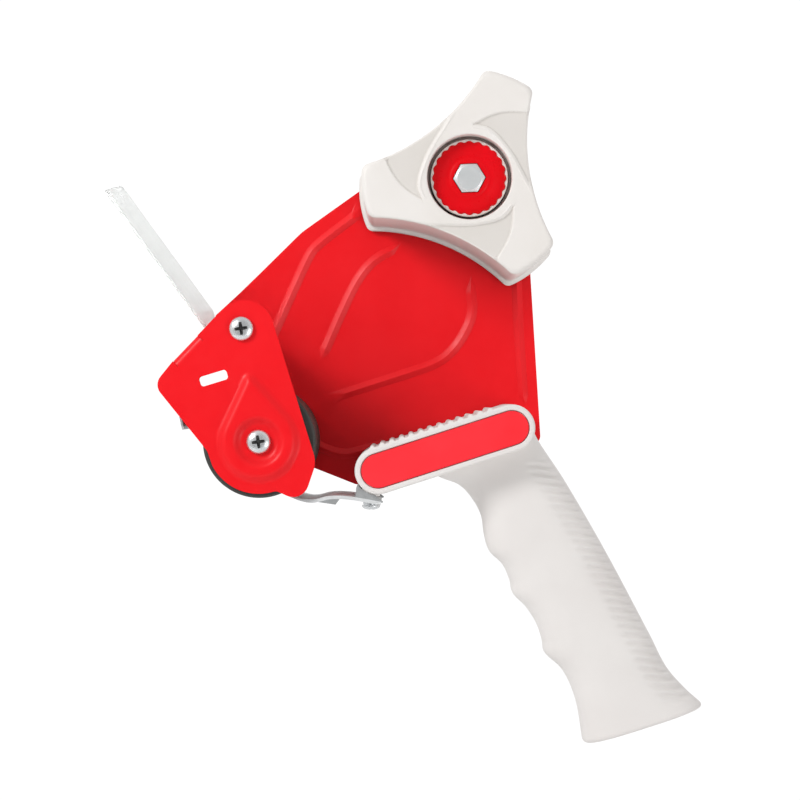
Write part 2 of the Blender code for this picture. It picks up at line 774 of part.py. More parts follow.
def make_hub():
    """A moulded star, hollow from behind round a cup for the knob and a boss for the bush."""
    face, back = -HUB_NEAR, -HUB_FAR
    floor = -HUB_CUP_FLOOR
    at = side_view()
    hub = extruded("hub", [hub_outline()], back, face, at, "hub_plastic")
    round_edges(hub, 1.2)
    lip = extruded("hub_lip", [hub_outline(HUB_LIP)], back, back + 2.2, at)

    hollow = extruded("hub_hollow", [hub_outline(-HUB_WALL)], -1, face - HUB_WALL, at)
    cup_wall = rod("hub_cup_wall", HUB_CUP_R + HUB_WALL, floor - HUB_WALL, face + 1, at)
    boss = rod("hub_boss", HUB_BOSS_R, -2, floor, at)
    cut(hollow, cup_wall, boss)

    cup = rod("hub_cup", HUB_CUP_R, floor, face + 1, at, steps=48)
    bore = rod("hub_bore", HUB_BOSS_BORE, -2, floor + 1, at)
    washer_room = rod("hub_washer_room", 11, -2, 4.1, at)
    return cut(fuse(hub, lip), hollow, cup, bore, washer_room)


def make_hub_bushing():
    bore, barrel, flange = POST_R + 0.2, HUB_BOSS_BORE - GAP, 9.5
    front = HUB_CUP_FLOOR - GAP
    profile = [
        (bore, -4.4),
        (barrel, -4.4),
        (barrel, front),
        (flange, front),
        (flange, front - 1.2),
        (bore, front - 1.2),
    ]
    return turned("hub_bushing", profile, across(), "nylon", ring=True)


def make_spindle():
    """The fixed post, clamped to the main plate by its flange and a nut behind the plate."""
    flange, tail, tail_end = 9.0, 4.0, 7.2
    profile = [
        (POST_BORE, POST_END),
        (POST_R, POST_END),
        (POST_R, -2.3),
        (flange, -2.3),
        (flange, -GAP),
        (tail, -GAP),
        (tail, tail_end),
        (POST_BORE, tail_end),
    ]
    turned("spindle_post", profile, across(), "zinc_steel", ring=True)
    tube("spindle_washer", 7.5, 4.3, SHEET + GAP, 2.8, across(), "zinc_steel")
    loops = [hexagon(13), circle((0, 0), 4.3)]
    extruded("spindle_nut", loops, 3.1, 6.8, across(), "zinc_steel")
    tube("friction_washer", 9.2, 5.3, -3.8, -2.6, across(), "fibre")


def make_knob():
    """A fluted knob with a pocket for the bolt's head."""
    steps = KNOB_SCALLOPS * 4
    outline = []
    for i in range(steps):
        dip = 0.5 - 0.5 * math.cos(2 * math.pi * KNOB_SCALLOPS * i / steps)
        outline.append(polar(KNOB_R - KNOB_SCALLOP_DEPTH * dip, 360 * i / steps))
    at = side_view()
    pocket = hexagon(HEX_FLATS + 2 * GAP)
    knob = extruded("brake_knob", [outline], -KNOB_FAR, -KNOB_NEAR, at, "red_plastic")
    return cut(
        knob,
        extruded("knob_pocket", [pocket], -KNOB_NEAR - 4.1, -KNOB_NEAR + 1, at),
        rod("knob_bore", BOLT_R + GAP, -KNOB_FAR - 1, -KNOB_NEAR + 1, at),
    )


def make_knob_bolt():
    """A hexagon bolt whose head turns with the knob and whose thread runs in the post."""
    seat, top = -KNOB_NEAR - 3.8, -KNOB_NEAR + 0.6
    at = side_view()
    bolt = extruded("knob_bolt", [hexagon(HEX_FLATS)], seat, top, at, "zinc_steel")
    chamfer = [(0, top + 1), (2.8, top + 1), (5.9, top - 1), (5.9, seat - 1), (0, seat - 1)]
    boolean(bolt, "INTERSECT", [turned("bolt_chamfer", chamfer, at)])
    return fuse(bolt, rod("bolt_shank", BOLT_R, -BOLT_END, seat + 1, at, steps=24))


def make_brake_washer():
    high = KNOB_FAR + GAP + 1.0
    return tube("brake_washer", 9.5, BOLT_R + GAP, high - 1, high, across(), "zinc_steel")


def make_brake_spring():
    """A short coil between the bush's flange and the washer under the knob."""
    wire, coil_r, turns, steps = 0.5, 7.0, 2.25, 14
    low, high = -36.1 + wire, -32.2 - wire
    count = int(turns * steps)
    curve = bpy.data.curves.new("brake_spring", "CURVE")
    curve.dimensions = "3D"
    curve.bevel_depth = wire * MM
    curve.bevel_resolution = 2
    curve.use_fill_caps = True
    spline = curve.splines.new("POLY")
    spline.points.add(count)
    for i, point in enumerate(spline.points):
        x, z = polar(coil_r, 360 * i / steps)
        point.co = (x * MM, (low + (high - low) * i / count) * MM, z * MM, 1)
    return link(bpy.data.objects.new("brake_spring", curve), "zinc_steel")


# ---- Handle ------------------------------------------------------------------------------------
def smooth_value(points, at):
    """The value at a distance on the smooth curve through (distance, value) points."""
    slopes = []
    for i in range(len(points)):
        before, after = points[max(i - 1, 0)], points[min(i + 1, len(points) - 1)]
        slopes.append((after[1] - before[1]) / (after[0] - before[0]))
    for i, (start, end) in enumerate(zip(points, points[1:])):
        if at <= end[0] or i == len(points) - 2:
            span = end[0] - start[0]
            t = (at - start[0]) / span
            return (
                start[1] * (1 + 2 * t) * (1 - t) ** 2
                + slopes[i] * span * t * (1 - t) ** 2
                + end[1] * t * t * (3 - 2 * t)
                + slopes[i + 1] * span * t * t * (t - 1)
            )


def grip_thickness(down):
    """Half the grip's width, a little fuller under the head and at the foot."""
    under_head = max(0, (14 - down) / 10)
    at_foot = max(0, (down - 92) / 22)
    return GRIP_HALF_THICKNESS + 2.5 * under_head**2 + 1.6 * at_foot**2


def grip_section(down, inset, squareness=2.8, count=20):
    """World points of one cross-section, parallel to the head's axis."""
    front = smooth_value(GRIP_FRONT, down) + inset
    back = smooth_value(GRIP_BACK, down) - inset
    half_y = grip_thickness(down) - inset
    middle, half = (front + back) / 2, (back - front) / 2
    section = []
    for i in range(count):
        angle = 2 * math.pi * (i + 0.5) / count
        c, s = math.cos(angle), math.sin(angle)
        along = middle + half * math.copysign(abs(c) ** (2 / squareness), c)
        y = PARTING + half_y * math.copysign(abs(s) ** (2 / squareness), s)
        x, z = head_point(along, down)
        section.append(Vector((x, y, z)) * MM)
    return section


def grip_solid(name, stations, inset, material=None):
    """A loft through the grip's sections; the last station is (distance, inset) too."""
    shape = bmesh.new()
    rings = []
    for down, extra in stations:
        rings.append([shape.verts.new(p) for p in grip_section(down, inset + extra)])
    for upper, lower in zip(rings, rings[1:]):
        for i in range(len(upper)):
            j = (i + 1) % len(upper)
            shape.faces.new((upper[i], upper[j], lower[j], lower[i]))
    shape.faces.new(rings[0])
    shape.faces.new(rings[-1][::-1])
    bmesh.ops.recalc_face_normals(shape, faces=shape.faces)
    mesh = bpy.data.meshes.new(name)
    shape.to_mesh(mesh)
    shape.free()
    return link(bpy.data.objects.new(name, mesh), material)


def ridge_bars():
    """The thirteen anti-stick ridges across the top of the head, as one cutter mesh."""
    shape = bmesh.new()
    length = HEAD_FAR - HEAD_NEAR - 1.2
    for i in range(RIDGES):
        x, z = head_point(RIDGE_FIRST + RIDGE_PITCH * i, -HEAD_R + 0.3)
        turn = across(x, z, (HEAD_FAR + HEAD_NEAR) / 2)
        bmesh.ops.create_cone(
            shape, cap_ends=True, segments=8, radius1=1.1 * MM, radius2=1.1 * MM,
            depth=length * MM, matrix=turn,
        )
    mesh = bpy.data.meshes.new("ridge_bars")
    shape.to_mesh(mesh)
    shape.free()
    return link(bpy.data.objects.new("ridge_bars", mesh), None)


def handle_blank(name, material):
    """The whole handle as one solid: head, ridges, grip and the pads that carry the tape guide."""
    at = side_view()
    head = stadium(HEAD_LEFT, HEAD_RIGHT, HEAD_R)
    stations = [(1 + (GRIP_END - GRIP_EDGE - 1) * i / 26, 0) for i in range(27)]
    stations.append((GRIP_END, GRIP_EDGE))
    blank = extruded(name, [head], -HEAD_FAR, -HEAD_NEAR, at, material)
    fuse(blank, grip_solid(f"{name}_grip", stations, 0), ridge_bars())
    for side, y in GUIDE_SCREW_YS.items():
        upright = place((GUIDE_SCREW_X, y, 0), (1, 0, 0), (0, 1, 0))
        fuse(blank, rod(f"{name}_pad_{side}", 3.2, -111.7, -104, upright, steps=24))
    return blank


def handle_core():
    """What both shells leave hollow, less the bosses that their screws run in."""
    at = side_view()
    core_r = HEAD_R - HEAD_WALL
    core = extruded("handle_core", [stadium(HEAD_LEFT, HEAD_RIGHT, core_r)], 7, 50.5, at)
    bottom = GRIP_END - GRIP_EDGE - GRIP_WALL
    stations = [(1 + (bottom - 1) * i / 18, 0) for i in range(19)]
    fuse(core, grip_solid("grip_core", stations, GRIP_WALL))
    for down, along in HANDLE_SCREWS:
        cut(core, rod(f"boss_{down}", 3.4, -60, 10, across(*head_point(along, down)), steps=20))
    return core


def half_space(name, low, high):
    """A slab that holds everything between two depths."""
    middle = Vector((-10, (low + high) / 2, -100))
    return block(name, (300, high - low, 300), Matrix.Translation(middle * MM))


def make_handle():
    core = handle_core()
    near = handle_blank("handle_near_shell", "grip_plastic")
    far = handle_blank("handle_far_shell", "grip_plastic")
    cut(near, core)
    cut(far, core)
    boolean(near, "INTERSECT", [half_space("near_half", -80, PARTING - GAP / 2)])
    boolean(far, "INTERSECT", [half_space("far_half", PARTING + GAP / 2, 20)])

    at = side_view()
    recess = stadium(HEAD_LEFT, HEAD_RIGHT, INSET_R + GAP)
    cut(near, extruded("inset_recess", [recess], -HEAD_NEAR - 1.4, -HEAD_NEAR + 1, at))
    inset = stadium(HEAD_LEFT, HEAD_RIGHT, INSET_R)
    extruded("handle_inset", [inset], -HEAD_NEAR - 1.1, -HEAD_NEAR, at, "inset_red")

    names = ("upper", "middle", "lower")
    for name, (down, along) in zip(names, HANDLE_SCREWS):
        where = across(*head_point(along, down))
        cut(near, rod(f"pilot_{name}", 1.7, -36, -20, where, steps=16))
        cut(far, rod(f"clearance_{name}", 1.8, -30, -10, where, steps=16),
            rod(f"counterbore_{name}", 3.2, -16.5, 0, where, steps=20))
        seat = across(*head_point(along, down), -16.2)
        pan_screw(f"handle_screw_{name}", seat, 18, head_r=2.8, head_h=1.9, shank_r=1.35)

    for name, along in zip(("left", "right"), FRAME_SCREWS):
        where = across(*head_point(along))
        cut(far, rod(f"frame_hole_{name}", 1.9, -8, 1, where, steps=16))
        seat = across(*head_point(along), SHEET + GAP)
        pan_screw(f"frame_screw_{name}", seat, 8, head_r=3.6, head_h=2.0)

    for side, y in GUIDE_SCREW_YS.items():
        upright = place((GUIDE_SCREW_X, y, 0), (1, 0, 0), (0, 1, 0))
        shell = near if side == "near" else far
        cut(shell, rod(f"guide_hole_{side}", 1.8, -114, -106, upright, steps=16))


# ---- Tape guide --------------------------------------------------------------------------------
GUIDE_SHEET = 1.2
GUIDE_NEAR, GUIDE_FAR = -51.0, -3.0
GUIDE_PATH = (
    (-62.5, -110.4), (-58, -112.2), (-54.2, -112.6), (-49.6, -111.2), (-45, -111.1),
    (-40, -111.6), (-30.5, -113.4),
)


def make_guide():
    """A bent sheet under the head with a gusset and a saddle on each side."""
    at = side_view()
    guide = extruded("tape_guide", [band(GUIDE_PATH, GUIDE_SHEET)], -GUIDE_FAR, -GUIDE_NEAR, at,
                     "zinc_steel")
    gusset = [(-54.2, -112.9), (-49.6, -111.5), (-45, -111.4), (-46.8, -114.3), (-51, -113.7)]
    under_head = arc(HEAD_LEFT, HEAD_R + 0.4, 213, 262, 5)
    saddle = [*under_head, (-30.0, -113.2), (-30.6, -114.2), (-39.9, -112.4), (-39.6, -108.5)]
    for side, low in (("near", -GUIDE_NEAR - GUIDE_SHEET), ("far", -GUIDE_FAR)):
        high = low + GUIDE_SHEET
        fuse(
            guide,
            extruded(f"guide_gusset_{side}", [gusset], low, high, at),
            extruded(f"guide_saddle_{side}", [saddle], low, high, at),
        )
    for side, y in GUIDE_SCREW_YS.items():
        upright = place((GUIDE_SCREW_X, y, 0), (1, 0, 0), (0, 1, 0))
        cut(guide, rod(f"guide_clearance_{side}", 1.9, -118, -110, upright, steps=16))
        upside_down = place((GUIDE_SCREW_X, y, -114.8), (1, 0, 0), (0, -1, 0))
        pan_screw(f"guide_screw_{side}", upside_down, 7.5, head_r=3.2, head_h=1.7)
    return guide


# ---- Assembly ----------------------------------------------------------------------------------
def build():
    frame = make_frame()
    make_flap_root()
    make_clamp()
    make_blade()
    make_sheet_rivets(frame)
    for stem, axis in (("roller_shaft", ROLLER_AXIS), ("tie_rod", TIE_AXIS)):
        make_cross_rod(stem, axis)
        make_rod_screws(stem, axis)
    make_roller_spacers()
    make_spindle()
    make_handle()
    make_guide()

    hub_axis = (0, HUB_NEAR / 2, 0)
    attach("hub_spin", hub_axis, [make_hub(), make_hub_bushing()])
    attach("roller_spin", (ROLLER_AXIS[0], SIDE_MIDDLE, ROLLER_AXIS[1]), make_roller())
    slide = attach("brake_slide", (0, KNOB_FAR, 0), [make_brake_washer(), make_brake_spring()])
    attach("knob_turn", (0, KNOB_NEAR, 0), [make_knob(), make_knob_bolt()], slide)
    attach("flap_flex", (FLAP_PIVOT[0], SIDE_MIDDLE, FLAP_PIVOT[1]), [make_flap()])


build()
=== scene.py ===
"""Looks for the tape gun dispenser: fine meshes, materials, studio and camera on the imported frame.

Row frame: the hub turns about Y through the origin, -Y is the open side, +Z is up, +X points to the
grip. Lengths are millimetres, and a mesh helper turns them into metres as it makes its points.
"""

import json
import math

import bmesh
import bpy
from mathutils import Matrix, Vector, geometry


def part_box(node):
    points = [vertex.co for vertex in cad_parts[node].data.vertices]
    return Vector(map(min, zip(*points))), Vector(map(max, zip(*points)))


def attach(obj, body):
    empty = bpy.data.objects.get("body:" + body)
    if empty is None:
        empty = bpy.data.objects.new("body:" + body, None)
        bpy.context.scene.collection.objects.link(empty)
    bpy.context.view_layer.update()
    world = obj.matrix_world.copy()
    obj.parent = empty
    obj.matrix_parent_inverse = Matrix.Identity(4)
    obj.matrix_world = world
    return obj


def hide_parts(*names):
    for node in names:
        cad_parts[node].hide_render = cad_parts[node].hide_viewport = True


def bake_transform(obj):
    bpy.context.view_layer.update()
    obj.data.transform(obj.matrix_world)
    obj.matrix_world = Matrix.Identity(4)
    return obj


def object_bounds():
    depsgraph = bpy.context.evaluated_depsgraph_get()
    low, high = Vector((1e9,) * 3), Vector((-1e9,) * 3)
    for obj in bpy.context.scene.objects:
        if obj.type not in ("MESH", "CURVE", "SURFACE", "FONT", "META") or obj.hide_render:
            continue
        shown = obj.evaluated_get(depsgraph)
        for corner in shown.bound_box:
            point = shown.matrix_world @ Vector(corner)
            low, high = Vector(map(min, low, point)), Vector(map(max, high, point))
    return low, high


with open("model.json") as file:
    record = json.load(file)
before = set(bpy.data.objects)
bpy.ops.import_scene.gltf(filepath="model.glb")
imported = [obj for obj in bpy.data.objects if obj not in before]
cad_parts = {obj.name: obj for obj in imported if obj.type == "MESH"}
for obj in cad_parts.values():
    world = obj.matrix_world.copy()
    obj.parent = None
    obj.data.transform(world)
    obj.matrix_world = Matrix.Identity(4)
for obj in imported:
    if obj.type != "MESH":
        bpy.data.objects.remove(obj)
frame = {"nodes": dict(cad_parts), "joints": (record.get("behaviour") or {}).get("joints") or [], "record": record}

MM = 0.001
CAD_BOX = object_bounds()
JOINTS = {joint["name"]: joint for joint in frame["joints"]}


# ---- Sizes taken from the frame
def span(node, axis):
    """A CAD node's lowest and highest coordinate along an axis, in millimetres."""
    low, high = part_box(node)
    return low[axis] / MM, high[axis] / MM


def joint_axis(name):
    """Side-view point (x, z) that a hinge turns about."""
    x, _, z = JOINTS[name]["pos_m"]
    return x / MM, z / MM


X, Y, Z = 0, 1, 2
HUB_NEAR, HUB_FAR = span("hub", Y)
KNOB_NEAR, KNOB_FAR = span("brake_knob", Y)
BOLT_NEAR, BOLT_FAR = span("knob_bolt", Y)
ROLLER_NEAR, ROLLER_FAR = span("roller_rubber", Y)
HEAD_NEAR = span("handle_near_shell", Y)[0]
HEAD_FAR = span("handle_far_shell", Y)[1]
GUIDE_NEAR, GUIDE_FAR = span("tape_guide", Y)
FLAP_EDGES = span("flap", Y)
ROLLER_AXIS = joint_axis("roller_spin")
FLAP_PIVOT = joint_axis("flap_flex")
TIE_AXIS = (sum(span("tie_rod", X)) / 2, sum(span("tie_rod", Z)) / 2)
ROLLER_R = (span("roller_rubber", X)[1] - span("roller_rubber", X)[0]) / 2

# ---- Driving dimensions (mm, degrees)
SHEET = 1.5
CHEEK_NEAR = -55.0
BEND_TOP, BEND_BOTTOM = (-88.0, -48.4), (-103.2, -64.3)
BEND_R, BEND_RELIEF, BEND_STEPS = 2.5, 0.12, 8
CROSS_TOP = 9.7                 # the cross-plate starts this far below BEND_TOP
FLAP_FLANGE, BLADE_FLANGE, FLANGE_INSET = 7.5, 10.0, 2.5
BEAD_HALF_WIDTH, BEAD_HEIGHT = 1.7, 0.9
BOSS_R, BOSS_TIP, BOSS_HEIGHT = 14.4, (-77.3, -66.4), 1.9

CORE_R, HUB_WAIST_R, HUB_SIDE_R, HUB_CORNER_R = 37.8, 21.0, 72.4, 3.0
HUB_ARMS = (68.0, 188.0, 308.0)
HUB_WALL, HUB_LIP = 2.4, 1.5
CUP_R, CUP_FLOOR, LEDGE_R, LEDGE_Y = 14.8, -30.0, 13.95, -41.5
BOSS_OUTER_R, BOSS_BORE_R = 9.5, 6.9                # the boss round the bush
KNOB_R, KNOB_FLUTES, FLUTE_DEPTH, HEX_FLATS = 13.1, 24, 0.55, 9.7

# A recessed panel beside each arm lies between an arc across the arm and a swirl off the cup's
# collar. These run from the hub's axis for the first arm and repeat every 120 degrees.
PANEL_DEPTH, PANEL_SLOPE = 0.9, 0.9
SWIRL_RISE, SWIRL_HALF_WIDTH = 0.3, 0.55
PANEL_ARC = ((1.57, 18.9), (7.06, 21.95), (13.15, 23.26), (21.25, 22.8), (27.0, 21.6))
PANEL_SWIRL = ((0.9, 17.9), (7.06, 17.3), (14.0, 9.3), (17.5, 3.2), (19.2, -0.3), (22.7, -6.4),
               (26.5, -13.0))

HEAD_LEFT, HEAD_RIGHT, HEAD_R = (-31.9, -102.45), (14.6, -87.5), 8.2
RIDGES, RIDGE_PITCH, RIDGE_FIRST, RIDGE_R, RIDGE_SINK = 13, 3.6, -24.0, 1.1, 0.3
INSET_R = 5.9
PARTING = -27.0
GRIP_HALF_THICKNESS, GRIP_END, GRIP_EDGE = 14.0, 115.6, 1.6
GRIP_SQUARENESS, GRIP_STEPS, GRIP_STEP = 2.8, 80, 0.42
RIB_PITCH, RIB_HEIGHT, RIB_LENGTH, RIB_LEAN = 3.05, 1.0, 10.4, 0.48
HANDLE_SCREWS = {"upper": (22, 21), "middle": (62, 28), "lower": (100, 35)}    # down, along
FRAME_SCREWS = {"left": -20, "right": 14}                                      # along the head
GUIDE_SCREW_X, GUIDE_SCREW_YS = -34.5, {"near": -40.0, "far": -14.0}
GUIDE_SHEET = 1.2
GUIDE_PATH = (
    (-62.5, -110.4), (-58, -112.2), (-54.2, -112.6), (-49.6, -111.2), (-45, -111.1),
    (-40, -111.6), (-30.5, -113.4),
)

FLAP_TILT, BLADE_ANGLE = 53.9, 78.5
FLAP_NEAR_LENGTH, FLAP_FAR_LENGTH, FLAP_ROOT, FLAP_TIP_R = 60.1, 64.6, 9.4, 2.2
FLAP_LIFT = 3.6                 # rise of the flap's far edge over its near edge
BLADE_LENGTH, BLADE_WIDTH, BLADE_SHEET, BLADE_TEETH, TOOTH_DEPTH = 22.0, 49.0, 0.8, 18, 1.8
SHEET_MIDDLE = -26.75           # Y halfway between the plate and the cheek
HOLE_R, POST_HOLE_R, FRAME_HOLE_R = 1.8, 4.3, 2.2
WINDOW_FAR, WINDOW_NEAR = (-92.6, -70.2), (-89.05, -70.2)
RIVET_R, RIVET_HEIGHT, RIVET_SHANK_R = 2.4, 1.1, 1.4
FIXING_OFFSETS = {"near": -17.0, "far": 17.0}       # from SHEET_MIDDLE
FLAP_FIXING, BLADE_FIXING = -6.0, 5.0               # along the flap, down the blade

# Beads pressed into the main plate, as side-view routes.
BEADS = (
    ((-39.5, -9.0), (-55.5, -21.0), (-58.5, -25.5), (-70.5, -52.5), (-73.0, -58.0)),
    ((-26.0, -22.0), (-34.0, -26.0), (-40.0, -33.0), (-46.0, -45.5), (-53.0, -62.0)),
    ((1.5, -36.0), (2.8, -45.0), (0.0, -52.5), (-5.0, -60.0), (-11.0, -64.5), (-23.0, -68.5),
     (-48.0, -76.5)),
    ((18.6, -30.0), (19.2, -49.5), (20.7, -72.0), (21.2, -78.0)),
    ((-57.0, -93.5), (-46.0, -98.3), (-38.0, -96.4), (-30.0, -94.0)),
)

# The grip in the head's own directions: distance below the head's axis, then distance along it.
GRIP_FRONT = (
    (1, -10), (9, -5), (14, 1), (20, 4), (27, 5.3), (34, 4.2), (40, 4.2), (46, 7.2), (52, 7.9),
    (57, 7.6), (63, 10.5), (70, 12.3), (76, 12.4), (80.5, 11.9), (87.5, 15.7), (95, 17.2),
    (103, 17.1), (114.5, 15.3),
)
GRIP_BACK = (
    (1, 32.2), (7.4, 32.9), (24, 37.5), (52, 43.6), (86, 49.7), (99, 51.9), (109, 56.3),
    (114.5, 59.6),
)


# ---- Side-view geometry
def polar(radius, degrees, centre=(0.0, 0.0)):
    angle = math.radians(degrees)
    return centre[0] + radius * math.cos(angle), centre[1] + radius * math.sin(angle)


def shift(point, direction, distance):
    return point[0] + direction[0] * distance, point[1] + direction[1] * distance


def arc(centre, radius, start, end, count):
    return [polar(radius, start + (end - start) * i / count, centre) for i in range(count + 1)]


def circle(centre, radius, count=48):
    return [polar(radius, 360.0 * i / count, centre) for i in range(count)]


def quarter_turn(count, first=0):
    """(cosine, sine) at even steps from 0 to 90 degrees, without the steps before the first."""
    return [polar(1, 90 * i / count) for i in range(first, count + 1)]


def eased(t):
    """0 to 1 with a flat start and end."""
    t = min(max(t, 0.0), 1.0)
    return t * t * (3 - 2 * t)


def rounded(corners, count=8):
    """A closed outline. A corner (x, y, r) becomes an arc of radius r; (x, y) stays sharp."""
    outline = []
    for index, corner in enumerate(corners):
        here = Vector(corner[:2])
        radius = corner[2] if len(corner) > 2 else 0
        if not radius:
            outline.append(tuple(here))
            continue
        back = (Vector(corners[index - 1][:2]) - here).normalized()
        ahead = (Vector(corners[(index + 1) % len(corners)][:2]) - here).normalized()
        half = back.angle(ahead) / 2
        centre = here + (back + ahead).normalized() * (radius / math.sin(half))
        start = here + back * (radius / math.tan(half)) - centre
        end = here + ahead * (radius / math.tan(half)) - centre
        turn = start.angle_signed(end)
        for i in range(count + 1):
            outline.append(tuple(centre + Matrix.Rotation(-turn * i / count, 2) @ start))
    return outline


def slot(centre, length, width, tilt, count=8):
    half = (length - width) / 2
    left, right = polar(-half, tilt, centre), polar(half, tilt, centre)
    return arc(left, width / 2, tilt + 90, tilt + 270, count) + arc(
        right, width / 2, tilt - 90, tilt + 90, count
    )


def window(centre, length, width, tilt, radius):
    """A rectangle with round corners."""
    along, up = Vector(polar(length / 2, tilt)), Vector(polar(width / 2, tilt + 90))
    corners = [Vector(centre) + along * i + up * j for i, j in ((-1, 1), (-1, -1), (1, -1), (1, 1))]
    return rounded([(*corner, radius) for corner in corners])


def smooth_route(points, step=1.3):
    """An open route with its corners cut round, resampled at an even step."""
    route = [Vector(p) for p in points]
    for _ in range(4):
        cut = [route[0]]
        for a, b in zip(route, route[1:]):
            cut += [a.lerp(b, 0.25), a.lerp(b, 0.75)]
        route = [*cut, route[-1]]
    even, spare = [route[0]], 0.0
    for a, b in zip(route, route[1:]):
        spare += (b - a).length
        if spare >= step:
            even.append(b)
            spare = 0.0
    return even


def capsule_depth(point, a, radius_a, b, radius_b):
    """How deep a point lies inside two circles joined by their outer tangents."""
    axis = Vector(b) - Vector(a)
    length = axis.length
    along = (Vector(point) - Vector(a)).dot(axis) / length
    aside = abs((Vector(point) - Vector(a)).cross(axis) / length)
    lean = (radius_a - radius_b) / length
    run = math.sqrt(1 - lean * lean)
    foot = -lean * aside + run * along
    if foot < 0:
        return radius_a - math.hypot(aside, along)
    if foot > run * length:
        return radius_b - math.hypot(aside, along - length)
    return radius_a - (run * aside + lean * along)


# ---- Meshes
def place(origin, x_axis, y_axis):
    """The matrix whose local X and Y run along these world directions, from an origin in mm."""
    x_axis = Vector(x_axis).normalized()
    z_axis = x_axis.cross(Vector(y_axis)).normalized()
    y_axis = z_axis.cross(x_axis)
    matrix = Matrix((x_axis, y_axis, z_axis)).transposed().to_4x4()
    matrix.translation = Vector(origin) * MM
    return matrix


def across(x=0.0, z=0.0, y=0.0):
    """Local Z runs along world +Y."""
    return place((x, y, z), (1, 0, 0), (0, 0, -1))


def side_view(x=0.0, z=0.0, y=0.0):
    """Local X and Y are world X and Z; local Z points to the open side."""
    return place((x, y, z), (1, 0, 0), (0, 0, 1))


def show(name, mesh, matrix=None):
    """An object in the scene, with its mesh moved into the row frame."""
    if matrix:
        mesh.transform(matrix)
    obj = bpy.data.objects.new(name, mesh)
    bpy.context.scene.collection.objects.link(obj)
    return obj


def from_bmesh(name, shape, matrix=None):
    bmesh.ops.remove_doubles(shape, verts=shape.verts, dist=2e-6)
    bmesh.ops.recalc_face_normals(shape, faces=shape.faces)
    mesh = bpy.data.meshes.new(name)
    shape.to_mesh(mesh)
    shape.free()
    return show(name, mesh, matrix)


def evaluated(obj):
    """The mesh of an object with its modifiers, or of a curve."""
    depsgraph = bpy.context.evaluated_depsgraph_get()
    return bpy.data.meshes.new_from_object(obj.evaluated_get(depsgraph))


def settled(obj, sharp=35):
    """The object with its modifiers applied, shaded smooth except over sharp edges."""
    mesh = evaluated(obj)
    obj.modifiers.clear()
    obj.data = mesh
    mesh.shade_smooth()
    mesh.set_sharp_from_angle(angle=math.radians(sharp))
    flats = obj.modifiers.new("Flats", "WEIGHTED_NORMAL")
    flats.keep_sharp = True
    obj.data = evaluated(obj)
    obj.modifiers.clear()
    return obj


def round_edges(obj, width, segments=3, degrees=50):
    bevel = obj.modifiers.new("Edges", "BEVEL")
    bevel.width = width * MM
    bevel.segments = segments
    bevel.limit_method = "ANGLE"
    bevel.angle_limit = math.radians(degrees)
    return obj


def level(outline, height):
    """An outline's points with a third coordinate."""
    return [(*point, height) for point in outline]


def ring_faces(shape, rings, closed=False):
    """Quads between successive rings of the same number of points."""
    made = [[shape.verts.new(Vector(p) * MM) for p in ring] for ring in rings]
    pairs = list(zip(made, made[1:]))
    if closed:
        pairs.append((made[-1], made[0]))
    for a, b in pairs:
        for i in range(len(a)):
            j = (i + 1) % len(a)
            shape.faces.new((a[i], a[j], b[j], b[i]))
    return made


def lofted(name, rings, matrix=None, closed=False):
    """A skin over rings of (x, y, z) points, capped at its ends unless it closes on itself."""
    shape = bmesh.new()
    made = ring_faces(shape, rings, closed)
    if not closed:
        shape.faces.new(made[0])
        shape.faces.new(made[-1][::-1])
    return from_bmesh(name, shape, matrix)


def turned(name, profile, matrix, steps=64, ring=False):
    """(radius, height) points turned about the matrix's local Z. A ring's profile closes."""
    rings = [level(circle((0, 0), max(radius, 0.001), steps), height) for radius, height in profile]
    return lofted(name, rings, matrix, closed=ring)


def rod(name, radius, low, high, matrix, steps=32):
    return turned(name, [(radius, high), (radius, low)], matrix, steps)


def tube_profile(outer, inner, low, high, edge):
    """A ring's section with its outer edges chamfered."""
    return [
        (inner, low),
        (inner, high),
        (outer - edge, high),
        (outer, high - edge),
        (outer, low + edge),
        (outer - edge, low),
    ]


def extruded(name, loops, low, high, matrix, edge=0.0):
    """Outer outline, then any holes, extruded along the matrix's local Z with rounded edges."""
    curve = bpy.data.curves.new(name, "CURVE")
    curve.dimensions = "2D"
    curve.fill_mode = "BOTH"
    curve.extrude = ((high - low) / 2 - edge) * MM
    curve.bevel_depth = edge * MM
    curve.offset = -edge * MM
    curve.bevel_resolution = 2
    for loop in loops:
        spline = curve.splines.new("POLY")
        spline.points.add(len(loop) - 1)
        for point, (x, y) in zip(spline.points, loop):
            point.co = (x * MM, y * MM, 0, 1)
        spline.use_cyclic_u = True
    outline = show(name, curve)
    mesh = evaluated(outline)
    bpy.data.objects.remove(outline)
    mesh.materials.clear()
    shape = bmesh.new()
    shape.from_mesh(mesh)
    middle = Matrix.Translation((0, 0, (low + high) / 2 * MM))
    return from_bmesh(name, shape, matrix @ middle)


def combined(solid, operation, others):
    """A Boolean with each of the others, applied at once; the others are then removed."""
    for other in others:
        modifier = solid.modifiers.new(operation, "BOOLEAN")
        modifier.operation = operation
        modifier.solver = "EXACT"
        modifier.material_mode = "TRANSFER"
        modifier.object = other
    settled(solid)
    for other in others:
        bpy.data.objects.remove(other)
    return solid


def cut(solid, *others):
    return combined(solid, "DIFFERENCE", others)


def fuse(solid, *others):
    return combined(solid, "UNION", others)


# ---- Materials
def linear(*rgb):
    """Linear colour from 0-255 sRGB values."""
    channels = [c / 255 for c in rgb]
    return [c / 12.92 if c <= 0.04045 else ((c + 0.055) / 1.055) ** 2.4 for c in channels]


def shader_node(tree, kind, **values):
    """A new shader node with these input values; an underscore stands for a space."""
    made = tree.nodes.new(f"ShaderNode{kind}")
    for socket, value in values.items():
        made.inputs[socket.replace("_", " ")].default_value = value
    return made


